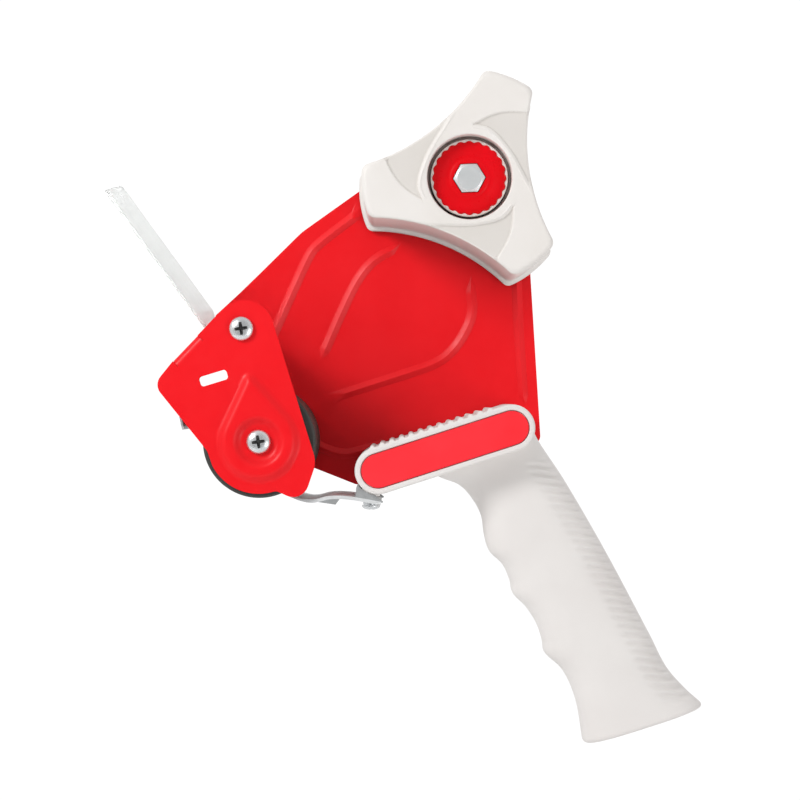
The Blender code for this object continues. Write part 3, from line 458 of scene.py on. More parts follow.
def noise(tree, size, detail=2.0, stretch=(1, 1, 1)):
    """Noise in the row frame whose features measure about this many millimetres."""
    coordinates = shader_node(tree, "TexCoord")
    mapping = shader_node(tree, "Mapping", Scale=stretch)
    texture = shader_node(tree, "TexNoise", Scale=1 / (size * MM), Detail=detail)
    tree.links.new(coordinates.outputs["Object"], mapping.inputs["Vector"])
    tree.links.new(mapping.outputs["Vector"], texture.inputs["Vector"])
    return texture.outputs["Fac"]


def between(tree, factor, low, high, first=0.3, last=0.7):
    """A value that goes from low to high as the factor goes from first to last."""
    spread = shader_node(tree, "MapRange", From_Min=first, From_Max=last, To_Min=low, To_Max=high)
    tree.links.new(factor, spread.inputs["Value"])
    return spread.outputs["Result"]


def blended(tree, factor, *colours):
    """A colour that follows the noise's middle range from the first colour to the second."""
    ramp = shader_node(tree, "ValToRGB")
    for stop, colour, position in zip(ramp.color_ramp.elements, colours, (0.3, 0.7)):
        stop.position = position
        stop.color = (*colour, 1)
    tree.links.new(factor, ramp.inputs["Fac"])
    return ramp.outputs["Color"]


def grained(tree, target, layers):
    """Bump from (noise, depth in mm) layers, one over another."""
    normal = None
    for height, depth in layers:
        bump = shader_node(tree, "Bump", Strength=1.0, Distance=depth * MM)
        tree.links.new(height, bump.inputs["Height"])
        if normal:
            tree.links.new(normal, bump.inputs["Normal"])
        normal = bump.outputs["Normal"]
    tree.links.new(normal, target.inputs["Normal"])


def new_finish(name, colours, roughness, grains, patch=22, stretch=(1, 1, 1), **constants):
    """A Principled material, patchy between two sRGB colours and two roughnesses, and grained."""
    material = bpy.data.materials.new(name)
    material.use_nodes = True
    tree = material.node_tree
    shader = tree.nodes["Principled BSDF"]
    for socket, value in constants.items():
        shader.inputs[socket.replace("_", " ")].default_value = value
    colour = blended(tree, noise(tree, patch, 4.0, stretch), *(linear(*c) for c in colours))
    rough = between(tree, noise(tree, patch / 6, 3.0, stretch), *roughness)
    tree.links.new(colour, shader.inputs["Base Color"])
    tree.links.new(rough, shader.inputs["Roughness"])
    layers = [(noise(tree, size, 2.0, stretch), depth) for size, depth in grains]
    grained(tree, shader, layers)
    return material


RED_PAINT = new_finish(
    "red enamel", ((243, 18, 28), (248, 25, 34)), (0.34, 0.46),
    [(1.8, 0.002)], Coat_Weight=0.06, Coat_Roughness=0.25, Specular_IOR_Level=0.2,
)
HUB_PLASTIC = new_finish(
    "warm white plastic", ((234, 229, 224), (240, 236, 232)), (0.36, 0.48),
    [(0.5, 0.003), (5.0, 0.012)], patch=30, Specular_IOR_Level=0.28,
)
# The recessed panels are matt, and their darker colour is painted shade for the panels' tilt and depth.
HUB_PANEL_SHADE = new_finish(
    "matt panel plastic, painted shade", ((221, 216, 210), (226, 221, 216)), (0.5, 0.62),
    [(0.35, 0.006), (5.0, 0.01)], patch=24, Specular_IOR_Level=0.3,
)
GRIP_PLASTIC = new_finish(
    "off-white plastic", ((229, 224, 221), (235, 231, 228)), (0.46, 0.6),
    [(0.45, 0.006), (6.0, 0.02)], patch=35, Specular_IOR_Level=0.35,
)
KNOB_RED = new_finish(
    "glossy red plastic", ((226, 0, 13), (233, 0, 19)), (0.26, 0.34),
    [(2.4, 0.0012)], patch=12, Coat_Weight=0.1, Coat_Roughness=0.15, Specular_IOR_Level=0.2,
)
INSET_RED = new_finish(
    "inset red plastic", ((255, 44, 54), (255, 52, 62)), (0.4, 0.52),
    [(0.5, 0.002), (4.0, 0.006)], patch=25, Specular_IOR_Level=0.25,
)
ZINC = new_finish(
    "zinc-plated steel", ((216, 219, 221), (236, 238, 239)), (0.2, 0.32),
    [(1.0, 0.0006)], patch=6, Metallic=0.8,
)
BRIGHT_ZINC = new_finish(
    "bright zinc-plated steel", ((212, 216, 217), (226, 229, 230)), (0.34, 0.44),
    [(1.2, 0.001)], patch=6, Metallic=0.4,
)
# Dark grey for the screws' cross recesses is painted shade, the shadow inside each recess.
DRIVE_RECESS_SHADE = new_finish(
    "drive recess, painted shade", ((84, 84, 84), (120, 120, 119)), (0.4, 0.6),
    [(0.4, 0.006)], patch=2, Metallic=0.7,
)
BLADE_STEEL = new_finish(
    "blade steel", ((202, 204, 205), (222, 224, 225)), (0.22, 0.4),
    [(0.8, 0.0006)], patch=9, stretch=(1, 0.15, 1), Metallic=0.6,
)
# The guide is one galvanised piece in two copies: a lighter one for its sheet as painted light, a darker one for
# its gussets and saddles as painted shade.
GUIDE_SHEET_LIT = new_finish(
    "galvanised sheet, painted light", ((222, 224, 225), (238, 240, 241)), (0.3, 0.45),
    [(1.4, 0.003)], patch=7, Metallic=0.3, Specular_IOR_Level=0.4,
)
GUIDE_TAB_SHADED = new_finish(
    "galvanised tab, painted shade", ((150, 152, 153), (172, 174, 175)), (0.34, 0.5),
    [(1.4, 0.004), (0.3, 0.001)], patch=7, Metallic=0.15, Specular_IOR_Level=0.4,
)
RUBBER = new_finish(
    "black rubber", ((56, 56, 53), (69, 68, 65)), (0.5, 0.7),
    [(0.35, 0.006), (3.0, 0.012)], patch=9,
)
BLACK_PLASTIC = new_finish(
    "black plastic", ((30, 30, 32), (40, 40, 42)), (0.4, 0.55),
    [(0.6, 0.006)], patch=15,
)
FIBRE = new_finish(
    "brown fibre", ((120, 88, 60), (146, 110, 78)), (0.8, 0.95),
    [(0.4, 0.02)], patch=3,
)
NYLON = new_finish(
    "natural nylon", ((224, 220, 206), (234, 230, 218)), (0.4, 0.55),
    [(0.8, 0.006)], patch=10,
)
FILM = new_finish(
    "frosted film", ((249, 251, 250), (253, 254, 253)), (0.42, 0.57),
    [(9.0, 0.02)], patch=18, Transmission_Weight=0.835, IOR=1.07, Specular_IOR_Level=0.1,
)

DULL_BOUNCE = linear(40, 38, 34)


def mute_bounce(material, share):
    """Takes a share out of the coloured light that a material throws on its neighbours."""
    tree = material.node_tree
    base = tree.nodes["Principled BSDF"].inputs["Base Color"]
    rays = shader_node(tree, "LightPath")
    factor = shader_node(tree, "Math")
    factor.operation = "MULTIPLY"
    factor.inputs[1].default_value = share
    mix = shader_node(tree, "Mix")
    mix.data_type = "RGBA"
    amount, _, _, _, _, _, seen, dull = mix.inputs[:8]
    dull.default_value = (*DULL_BOUNCE, 1)
    tree.links.new(rays.outputs["Is Diffuse Ray"], factor.inputs[0])
    tree.links.new(factor.outputs[0], amount)
    tree.links.new(base.links[0].from_socket, seen)
    tree.links.new(mix.outputs[2], base)


mute_bounce(RED_PAINT, 0.85)

SLOT_MATERIALS = {
    "red_paint": RED_PAINT,
    "hub_plastic": HUB_PLASTIC,
    "grip_plastic": GRIP_PLASTIC,
    "red_plastic": KNOB_RED,
    "inset_red": INSET_RED,
    "zinc_steel": ZINC,
    "blade_steel": BLADE_STEEL,
    "black_rubber": RUBBER,
    "black_plastic": BLACK_PLASTIC,
    "clear_film": FILM,
    "fibre": FIBRE,
    "nylon": NYLON,
}


def stand_in(obj, body, slot_name, *nodes):
    """A finished piece: its material, the CAD nodes that it replaces and the body it rides on."""
    if not any(obj.data.materials):
        obj.data.materials.clear()
        obj.data.materials.append(SLOT_MATERIALS[slot_name])
    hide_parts(*nodes)
    if body:
        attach(obj, body)


def repaint_cad_nodes():
    """CAD nodes that keep their own mesh get the same procedural finishes."""
    slots = {part["node"]: part["material_slot"] for part in frame["record"]["subparts"]}
    for name, node in frame["nodes"].items():
        node.data.materials.clear()
        node.data.materials.append(SLOT_MATERIALS[slots[name]])


ROOT = "frame_and_handle"

# ---- Frame pressing
ALONG_BEND = (Vector(BEND_BOTTOM) - Vector(BEND_TOP)).normalized()
OUT_OF_BEND = Vector((ALONG_BEND.y, -ALONG_BEND.x))
BEND_SPAN = (Vector(BEND_BOTTOM) - Vector(BEND_TOP)).length
FLAP_DIRECTION = Vector(polar(1, 180 - FLAP_TILT))
FLAP_UP = Vector((FLAP_DIRECTION.y, -FLAP_DIRECTION.x))
BLADE_DIRECTION = Vector(polar(1, -BLADE_ANGLE))
BLADE_OUT = Vector((BLADE_DIRECTION.y, -BLADE_DIRECTION.x))
HEAD_ALONG = (Vector(HEAD_RIGHT) - Vector(HEAD_LEFT)).normalized()
HEAD_DOWN = Vector((HEAD_ALONG.y, -HEAD_ALONG.x))
HEAD_MIDDLE = (Vector(HEAD_LEFT) + Vector(HEAD_RIGHT)) / 2


def bend_point(along, out):
    return tuple(Vector(BEND_TOP) + ALONG_BEND * along + OUT_OF_BEND * out)


def head_point(along, down=0.0):
    return tuple(HEAD_MIDDLE + HEAD_ALONG * along + HEAD_DOWN * down)


def bend_notch():
    """The corners of the cuts that free the bend at both ends of the cross-plate."""
    root = -BEND_R - BEND_RELIEF
    return [
        bend_point(BEND_SPAN + BEND_RELIEF, 0),
        bend_point(BEND_SPAN + BEND_RELIEF, root),
        bend_point(BEND_SPAN, root),
        bend_point(BEND_SPAN, -BEND_R),
        bend_point(CROSS_TOP, -BEND_R),
        bend_point(CROSS_TOP, root),
        bend_point(CROSS_TOP - BEND_RELIEF, root),
        bend_point(CROSS_TOP - BEND_RELIEF, 0),
    ]


def cheek_outline():
    return rounded([
        (*BEND_TOP, 2),
        (-73.8, -33.5, 10.3),
        (-53.4, -99.4, 9),
        (-58.2, -113.6, 5.5),
        (-67.2, -109.4, 3),
        *arc(ROLLER_AXIS, 18.1, -76, -153, 20),
        (-91.2, -95.6, 4),
        (-109.8, -72.5, 4.5),
        *bend_notch(),
    ])


def plate_outline():
    return rounded([
        (-92.2, -46.6, 1.5),
        (-83.3, -38.4),
        (-75.9, -31.2, 12),
        (-60.5, -16.0, 25),
        (-20, 12.8, 12),
        (-4, 20, 12),
        (19.5, 21, 12),
        (22.2, -6, 40),
        (27.6, -94, 3),
        head_point(18, 5),
        head_point(-28, 5),
        (-40.5, -108.9, 2),
        (-57, -102.4, 2),
        *arc(ROLLER_AXIS, 18.1, -44, -153, 24),
        (-91.2, -95.6, 4),
        (-109.8, -72.5, 4.5),
        *bend_notch(),
    ])


def distance_to(route, point):
    """The shortest distance from a point to a route of straight stretches."""
    best = math.inf
    for a, b in zip(route, route[1:]):
        along = b - a
        t = min(max((point - a).dot(along) / along.length_squared, 0), 1)
        best = min(best, (a + along * t - point).length)
    return best


BEAD_ROUTES = [smooth_route(route) for route in BEADS]


def bead_rows():
    """Rows of points along both sides of each bead, where the plate's surface bends."""
    rows = []
    for route in BEAD_ROUTES:
        for before, here, after in zip(route, route[1:], route[2:]):
            aside = (after - before).normalized().orthogonal()
            for share in (-1, -0.7, -0.4, 0, 0.4, 0.7, 1):
                rows.append(here + aside * share * BEAD_HALF_WIDTH)
    return rows


def plate_height(point):
    near = min(distance_to(route, point) for route in BEAD_ROUTES)
    return BEAD_HEIGHT * eased(1 - near / BEAD_HALF_WIDTH)


BOSS_LEAN = (Vector(BOSS_TIP) - Vector(ROLLER_AXIS)).normalized()
BOSS_REACH = (Vector(BOSS_TIP) - Vector(ROLLER_AXIS)).length
BOSS_NOSE_R = 2.6
BOSS_NOSE = Vector(BOSS_TIP) - BOSS_LEAN * (BOSS_NOSE_R * BOSS_REACH / BOSS_R)


def cheek_height(point):
    """A teardrop boss with soft shoulders and a dished seat for the roller's screw."""
    inside = capsule_depth(point, ROLLER_AXIS, BOSS_R, BOSS_NOSE, BOSS_NOSE_R)
    from_axis = (Vector(point) - Vector(ROLLER_AXIS)).length
    return BOSS_HEIGHT * eased((inside + 0.4) / 3.4) * eased((from_axis - 6.0) / 3.0)


def even_spots(low, high, step):
    """A staggered grid of points over a side-view rectangle."""
    spots = []
    for row in range(int((high[1] - low[1]) / step)):
        for column in range(int((high[0] - low[0]) / step)):
            x = low[0] + (column + 0.5 * (row % 2)) * step
            spots.append(Vector((x, low[1] + row * step)))
    return spots


def anticlockwise(loop):
    twice_area = sum(a[0] * b[1] - b[0] * a[1] for a, b in zip(loop, [*loop[1:], loop[0]]))
    return loop if twice_area > 0 else loop[::-1]


def pressed_face(shape, loops, spots, y, height):
    """A face at a depth, triangulated through these spots and raised by height(point)."""
    points = [Vector(p) for loop in loops for p in anticlockwise(loop)]
    groups, start = [], 0
    for loop in loops:
        groups.append(list(range(start, start + len(loop))))
        start += len(loop)
    verts, _, faces, _, _, owners = geometry.delaunay_2d_cdt(points + spots, [], groups, 0, 1e-4)
    made = [shape.verts.new((v.x * MM, (y - height(v)) * MM, v.y * MM)) for v in verts]
    for face, owner in zip(faces, owners):
        if list(owner) == [0]:
            shape.faces.new([made[i] for i in face])
    loose = [vert for vert in made if not vert.link_faces]
    bmesh.ops.delete(shape, geom=loose, context="VERTS")


def strip(shape, path, start, end):
    """Quads that follow a path of points from one end vector to the other."""
    rows = [[shape.verts.new((Vector(p) + Vector(e)) * MM) for e in (start, end)] for p in path]
    for a, b in zip(rows, rows[1:]):
        shape.faces.new((a[0], a[1], b[1], b[0]))


def turn_over(start, before, after):
    """Side-view points of a bend that starts at a point and turns from one direction to another."""
    turn = Vector(before).angle_signed(Vector(after))
    side = Vector((before[1], -before[0])) * (1 if turn > 0 else -1)
    centre = Vector(start) + side * BEND_R
    arm = Vector(start) - centre
    steps = [Matrix.Rotation(-turn * i / BEND_STEPS, 2) for i in range(BEND_STEPS + 1)]
    return [tuple(centre + step @ arm) for step in steps]


def cross_plate(shape, far_y, near_y):
    """The flat of the cross-plate, with the flap's flange above and the blade's flange below."""
    flange_far, flange_near = far_y - FLANGE_INSET, near_y + FLANGE_INSET
    top, bottom = bend_point(CROSS_TOP, 0), bend_point(BEND_SPAN, 0)
    ys = (far_y, flange_far, flange_near, near_y)
    upper = [shape.verts.new((top[0] * MM, y * MM, top[1] * MM)) for y in ys]
    lower = [shape.verts.new((bottom[0] * MM, y * MM, bottom[1] * MM)) for y in ys]
    shape.faces.new(upper + lower[::-1])

    flap_flange = turn_over(top, -ALONG_BEND, -FLAP_DIRECTION)
    flap_flange.append(shift(flap_flange[-1], -FLAP_DIRECTION, FLAP_FLANGE))
    blade_flange = turn_over(bottom, ALONG_BEND, BLADE_DIRECTION)
    blade_flange.append(shift(blade_flange[-1], BLADE_DIRECTION, BLADE_FLANGE))
    for flange in (flap_flange, blade_flange):
        strip(shape, [(x, 0, z) for x, z in flange], (0, flange_far, 0), (0, flange_near, 0))


def plate_face(shape, screw_holes):
    holes = [circle((0, 0), POST_HOLE_R, 32), slot(WINDOW_FAR, 15, 9, 15)]
    holes += [circle(head_point(along), FRAME_HOLE_R, 24) for along in FRAME_SCREWS.values()]
    flat_spots = [
        spot for spot in even_spots((-112, -116), (30, 24), 4)
        if all(distance_to(route, spot) > BEAD_HALF_WIDTH + 1 for route in BEAD_ROUTES)
    ]
    pressed_face(shape, [plate_outline(), *screw_holes, *holes], flat_spots + bead_rows(), SHEET,
                 plate_height)


def cheek_face(shape, screw_holes):
    outline = cheek_outline()
    edge = [Vector(p) for p in outline]
    boss_spots = [
        spot for spot in even_spots((-92, -112), (-55, -62), 0.9)
        if (spot - Vector(ROLLER_AXIS)).length > 3
        and capsule_depth(spot, ROLLER_AXIS, BOSS_R + 1, BOSS_NOSE, BOSS_NOSE_R + 1) > 0
        and distance_to(edge, spot) > 0.6
    ]
    hole = window(WINDOW_NEAR, 9.9, 3.5, 17, 1.1)
    pressed_face(shape, [outline, *screw_holes, hole], boss_spots, CHEEK_NEAR, cheek_height)


def bends(shape):
    """Both bends beside the cross-plate, and the cross-plate between them."""
    far_bend = arc((-BEND_R, SHEET - BEND_R), BEND_R, 90, 0, BEND_STEPS)
    near_bend = arc((-BEND_R, CHEEK_NEAR + BEND_R), BEND_R, 0, -90, BEND_STEPS)
    drop = ALONG_BEND * (BEND_SPAN - CROSS_TOP)
    for bend in (far_bend, near_bend):
        path = []
        for out, y in bend:
            x, z = bend_point(CROSS_TOP, out)
            path.append((x, y, z))
        strip(shape, path, (0, 0, 0), (drop.x, 0, drop.y))
    cross_plate(shape, far_bend[-1][1], near_bend[0][1])


def frame_pressing():
    shape = bmesh.new()
    screw_holes = [circle(axis, HOLE_R, 24) for axis in (ROLLER_AXIS, TIE_AXIS)]
    plate_face(shape, screw_holes)
    cheek_face(shape, screw_holes)
    bends(shape)
    pressing = from_bmesh("frame_pressing", shape)
    sheet = pressing.modifiers.new("Sheet", "SOLIDIFY")
    sheet.thickness = SHEET * MM
    sheet.offset = -1.0
    sheet.use_even_offset = True
    round_edges(pressing, 0.28, 2, 62)
    stand_in(settled(pressing, 40), ROOT, "red_paint", "frame")


# ---- Fasteners
# Head radius and height, then shank radius and length.
ROD_SCREW = (4.2, 2.3, 1.5, 11)
FRAME_SCREW = (3.6, 2.0, 1.5, 8)
HANDLE_SCREW = (2.8, 1.9, 1.35, 18)
GUIDE_SCREW = (3.2, 1.7, 1.5, 7.5)


def drive_star(reach, width):
    """The outline of a cross drive with tapered arms."""
    outline = []
    for quarter in range(4):
        for radius, lean in ((reach, -12), (reach, 12), (width, 45)):
            outline.append(polar(radius, 90 * quarter + 8 + lean))
    return outline


def cross_drive(matrix, head_h, reach):
    """A cutter for a cross recess that narrows with depth."""
    rings = []
    for height, scale in ((head_h + 0.5, 1.1), (head_h - 0.4, 0.95), (head_h - 1.5, 0.45)):
        rings.append(level(drive_star(reach * scale, reach * 0.36 * scale), height))
    cutter = lofted("cross_drive", rings, matrix)
    # The cutter's dark finish passes to the recess walls as painted shade.
    cutter.data.materials.append(DRIVE_RECESS_SHADE)
    return cutter


def pan_screw(node, matrix, head_r, head_h, shank_r, length):
    """A domed head with a cross drive. Its underside is at local Z = 0, its top towards +Z."""
    dome = [(head_r * s**0.9, head_h * (0.22 + 0.78 * c)) for c, s in quarter_turn(8, 1)]
    profile = [(0, head_h), *dome, (head_r - 0.1, 0), (shank_r, 0), (shank_r, -length + 0.5),
               (0, -length)]
    screw = turned(f"{node}_piece", profile, matrix, 48)
    screw.data.materials.append(ZINC)
    return cut(screw, cross_drive(matrix, head_h, 0.56 * head_r))


def rivet(node, matrix, grip):
    """A domed head above Z = 0 and, below the sheets that it grips, a flat tail."""
    dome = [(RIVET_R * s, RIVET_HEIGHT * c) for c, s in quarter_turn(6)[:-1]]
    tail = 0.8 * RIVET_R
    profile = [*dome, (RIVET_R, 0), (RIVET_SHANK_R, 0), (RIVET_SHANK_R, -grip), (tail, -grip),
               (tail, -grip - 0.5), (tail - 0.3, -grip - 0.7), (0, -grip - 0.7)]
    round_piece(node, profile, matrix, 32)


def round_piece(node, profile, matrix, steps, body=ROOT, slot_name="zinc_steel", ring=False):
    """The stand-in of a node that is a turned shape."""
    piece = turned(f"{node}_piece", profile, matrix, steps, ring)
    stand_in(settled(piece), body, slot_name, node)


def fasten(node, matrix, size):
    stand_in(pan_screw(node, matrix, *size), ROOT, "zinc_steel", node)


def fasten_far(node, point, size):
    """A screw at a side-view point, with its head on the far side."""
    fasten(node, across(*point, span(node, Y)[1] - size[1]), size)


def fasteners():
    for stem, axis in (("roller_shaft", ROLLER_AXIS), ("tie_rod", TIE_AXIS)):
        near = span(f"{stem}_screw_near", Y)[0] + ROD_SCREW[1]
        fasten(f"{stem}_screw_near", side_view(*axis, near), ROD_SCREW)
        fasten_far(f"{stem}_screw_far", axis, ROD_SCREW)
    for name, along in FRAME_SCREWS.items():
        fasten_far(f"frame_screw_{name}", head_point(along), FRAME_SCREW)
    for name, (down, along) in HANDLE_SCREWS.items():
        fasten_far(f"handle_screw_{name}", head_point(along, down), HANDLE_SCREW)
    for side in ("near", "far"):
        node = f"guide_screw_{side}"
        x, y = sum(span(node, X)) / 2, sum(span(node, Y)) / 2
        seat = span(node, Z)[0] + GUIDE_SCREW[1]
        fasten(node, place((x, y, seat), (1, 0, 0), (0, -1, 0)), GUIDE_SCREW)


# ---- Flap, clamp strip and blade
BLADE_START = turn_over(bend_point(BEND_SPAN, 0), ALONG_BEND, BLADE_DIRECTION)[-1]
FILM_THICKNESS = 0.6            # thinner than its CAD solid
CLAMP_LOW, CLAMP_HIGH, CLAMP_SPAN = 0.35, 1.75, (-9, -3)
BLADE_LOW, BLADE_TOP = 0.1, 0.8


def strip_frame(origin, direction):
    """Local X is world +Y from the middle of the width, local Y runs in this direction."""
    return place((origin[0], SHEET_MIDDLE, origin[1]), (0, 1, 0), (direction.x, 0, direction.y))


def flap_frame(up=0.0):
    return strip_frame(shift(FLAP_PIVOT, FLAP_UP, up), FLAP_DIRECTION)


def blade_frame(out=0.0):
    return strip_frame(shift(BLADE_START, BLADE_OUT, out), BLADE_DIRECTION)


def fixing_holes(distance):
    return [circle((x, distance), HOLE_R, 32) for x in FIXING_OFFSETS.values()]


def flap_point(side, share, width):
    """A point of the film: side runs from -0.5 to 0.5, share from its held end to its tip."""
    reach = FLAP_NEAR_LENGTH + (FLAP_FAR_LENGTH - FLAP_NEAR_LENGTH) * (side + 0.5)
    from_edge = width * (0.5 - abs(side))
    if from_edge < FLAP_TIP_R:
        reach -= FLAP_TIP_R - math.sqrt(FLAP_TIP_R**2 - (FLAP_TIP_R - from_edge) ** 2)
    out = -FLAP_ROOT + share * (reach + FLAP_ROOT)
    return side * width, out, FLAP_LIFT * (side + 0.5) * eased(out / 8)


def flap():
    """One frosted film that bends where it leaves its clamp and twists towards its far edge."""
    width = FLAP_EDGES[1] - FLAP_EDGES[0]
    near_edge = [0, 0.15, 0.5, 1.1, 2.2]
    across_film = [*near_edge, *(width * i / 20 for i in range(1, 20))]
    across_film = sorted({*across_film, *(width - d for d in near_edge)})
    shares = [i / 110 for i in range(111)]
    shape = bmesh.new()
    rows = []
    for share in shares:
        rows.append([
            shape.verts.new(Vector(flap_point(d / width - 0.5, share, width)) * MM)
            for d in across_film
        ])
    for a, b in zip(rows, rows[1:]):
        for i in range(len(a) - 1):
            shape.faces.new((a[i], a[i + 1], b[i + 1], b[i]))
    film = from_bmesh("flap_film", shape, flap_frame())
    sheet = film.modifiers.new("Film", "SOLIDIFY")
    sheet.thickness = FILM_THICKNESS * MM
    sheet.offset = 0.0
    stand_in(settled(film), None, "clear_film", "flap", "flap_root")

    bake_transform(film)


def clamp_strip():
    half = (FLAP_EDGES[1] - FLAP_EDGES[0]) / 2 - 1
    start, end = CLAMP_SPAN
    outline = rounded([(-half, start, 1), (half, start, 1), (half, end, 1), (-half, end, 1)])
    clamp = extruded("clamp_strip", [outline, *fixing_holes(FLAP_FIXING)], CLAMP_LOW, CLAMP_HIGH,
                     flap_frame())
    round_edges(clamp, 0.25)
    stand_in(settled(clamp), ROOT, "zinc_steel", "flap_clamp_strip")


def blade():
    """A steel strip with a row of pointed teeth."""
    half, pitch = BLADE_WIDTH / 2, BLADE_WIDTH / BLADE_TEETH
    root = BLADE_LENGTH - TOOTH_DEPTH
    teeth = []
    for i in range(BLADE_TEETH):
        teeth.append((half - pitch * i, root))
        teeth.append((half - pitch * (i + 0.5), BLADE_LENGTH))
    outline = [(-half, root), (-half, BLADE_TOP), (half, BLADE_TOP), *teeth]
    steel = extruded("blade_piece", [outline, *fixing_holes(BLADE_FIXING)], BLADE_LOW,
                     BLADE_LOW + BLADE_SHEET, blade_frame())
    round_edges(steel, 0.1, 2)
    stand_in(settled(steel), ROOT, "blade_steel", "blade")


def sheet_rivets():
    for side, x in FIXING_OFFSETS.items():
        at_flap = flap_frame(CLAMP_HIGH) @ Matrix.Translation(Vector((x, FLAP_FIXING, 0)) * MM)
        at_blade = blade_frame(BLADE_LOW + BLADE_SHEET) @ Matrix.Translation(
            Vector((x, BLADE_FIXING, 0)) * MM
        )
        rivet(f"flap_clamp_rivet_{side}", at_flap, 4.1)
        rivet(f"blade_rivet_{side}", at_blade, 2.9)


# ---- Roller, rods and spacers
def cross_rod(node, axis):
    low, high = span(node, Y)
    rod_r = (span(node, X)[1] - span(node, X)[0]) / 2
    profile = [(0, high), (rod_r - 0.4, high), (rod_r, high - 0.4), (rod_r, low + 0.4),
               (rod_r - 0.4, low), (0, low)]
    round_piece(node, profile, across(*axis), 48)


def roller():
    at = across(*ROLLER_AXIS)
    low, high = ROLLER_NEAR, ROLLER_FAR
    shaft_r, hub_r, rim_r, core_r, pocket = 3.25, 6.5, 13.0, 15.5, 12.0
    core = [
        (shaft_r, high), (hub_r - 0.4, high), (hub_r, high - 0.4), (hub_r, high - pocket),
        (rim_r, high - pocket), (rim_r, high - 0.4), (rim_r + 0.4, high), (core_r, high),
        (core_r, low), (rim_r + 0.4, low), (rim_r, low + 0.4), (rim_r, low + pocket),
        (hub_r, low + pocket), (hub_r, low + 0.4), (hub_r - 0.4, low), (shaft_r, low),
    ]
    round_piece("roller_core", core, at, 96, "roller", "black_plastic", ring=True)

    edge = 1.1
    sleeve = [(core_r + 0.1, high)]
    sleeve += arc((ROLLER_R - edge, high - edge), edge, 90, 0, 6)
    sleeve += arc((ROLLER_R - edge, low + edge), edge, 0, -90, 6)
    sleeve.append((core_r + 0.1, low))
    round_piece("roller_rubber", sleeve, at, 128, "roller", "black_rubber", ring=True)

    for side in ("near", "far"):
        node = f"roller_spacer_{side}"
        profile = tube_profile(5.8, shaft_r, *span(node, Y), 0.3)
        round_piece(node, profile, at, 48, ROOT, "nylon", ring=True)


# ---- Hub
def hub_outline(grow=0.0):
    """Three arms with round ends and long concave sides, all moved outwards by this much."""
    end_r, waist = CORE_R + grow, HUB_WAIST_R + grow
    side_r = HUB_SIDE_R - grow
    reach = waist + side_r
    open_half = math.degrees(math.acos((end_r**2 + reach**2 - side_r**2) / (2 * end_r * reach)))
    arm_half = 60 - open_half
    sweep = math.degrees(math.asin(end_r * math.sin(math.radians(open_half)) / side_r))
    corners = []
    for arm in HUB_ARMS:
        corners.append((*polar(end_r, arm - arm_half), HUB_CORNER_R))
        corners += arc((0, 0), end_r, arm - arm_half, arm + arm_half, 12)[2:-2]
        corners.append((*polar(end_r, arm + arm_half), HUB_CORNER_R))
        middle = arm + 60
        side_centre = polar(reach, middle)
        corners += arc(side_centre, side_r, middle + 180 + sweep, middle + 180 - sweep, 36)[3:-3]
    return rounded(corners)


PANEL_EDGES = [smooth_route(PANEL_ARC, 0.5), smooth_route(PANEL_SWIRL, 0.5)]
PANEL_LOOP = [*PANEL_EDGES[0], *PANEL_EDGES[1][::-1]]
PANEL_OFFSETS = (-1.05, -0.85, -0.65, -0.45, -0.25, -0.08, 0.08, 0.25, 0.45, 0.65, 0.85, 1.05)
CUP_RIM_R, CUP_WALL_R = CUP_R + 0.55, CUP_R + HUB_WALL
HUB_STEPS = 96
HUB_BACK = (                    # how far the outline grows, and its depth
    (0, -30), (0, -4.4), (0.15, -3.9), (0.7, -3.5), (HUB_LIP - 0.4, -3.3), (HUB_LIP, -2.9),
    (HUB_LIP, -1.6), (HUB_LIP - 0.4, HUB_FAR), (-HUB_WALL, HUB_FAR),
    (-HUB_WALL, HUB_NEAR + HUB_WALL),
)
HUB_BORE = (                    # radius and depth, from the cup's outer wall to its rim
    (CUP_WALL_R, HUB_NEAR + HUB_WALL), (CUP_WALL_R, CUP_FLOOR + HUB_WALL),
    (BOSS_OUTER_R, CUP_FLOOR + HUB_WALL), (BOSS_OUTER_R, -4.1), (BOSS_BORE_R, -4.1),
    (BOSS_BORE_R, CUP_FLOOR), (LEDGE_R, CUP_FLOOR), (LEDGE_R, LEDGE_Y), (CUP_R, LEDGE_Y),
    (CUP_R, HUB_NEAR + 0.55), (CUP_R + 0.08, HUB_NEAR + 0.28), (CUP_R + 0.27, HUB_NEAR + 0.08),
    (CUP_RIM_R, HUB_NEAR),
)


def lies_inside(loop, point):
    """Whether a point is inside a closed outline, by the crossings to its right."""
    inside = False
    for a, b in zip(loop, loop[1:] + loop[:1]):
        if (a.y > point.y) != (b.y > point.y):
            if point.x < a.x + (b.x - a.x) * (point.y - a.y) / (b.y - a.y):
                inside = not inside
    return inside


def panel_drop(point):
    """How far the hub's face lies below its front plane at a side-view point."""
    for turn in (0, 120, 240):
        there = Matrix.Rotation(math.radians(-turn), 2) @ Vector(point)
        if lies_inside(PANEL_LOOP, there):
            from_edge = min(distance_to(edge, there) for edge in PANEL_EDGES)
            return PANEL_DEPTH * eased(from_edge / PANEL_SLOPE)
        from_swirl = distance_to(PANEL_EDGES[1], there)
        if from_swirl < 2 * SWIRL_HALF_WIDTH:
            return -SWIRL_RISE * eased(from_swirl / SWIRL_HALF_WIDTH) * eased(
                2 - from_swirl / SWIRL_HALF_WIDTH
            )
    return 0.0


def panel_rows():
    """Rows of points along the panels' edges, where the face slopes."""
    rows = []
    for edge in PANEL_EDGES:
        for before, here, after in zip(edge, edge[1:], edge[2:]):
            aside = (after - before).normalized().orthogonal()
            for offset in PANEL_OFFSETS:
                for turn in (0, 120, 240):
                    rows.append(Matrix.Rotation(math.radians(turn), 2) @ (here + aside * offset))
    return rows


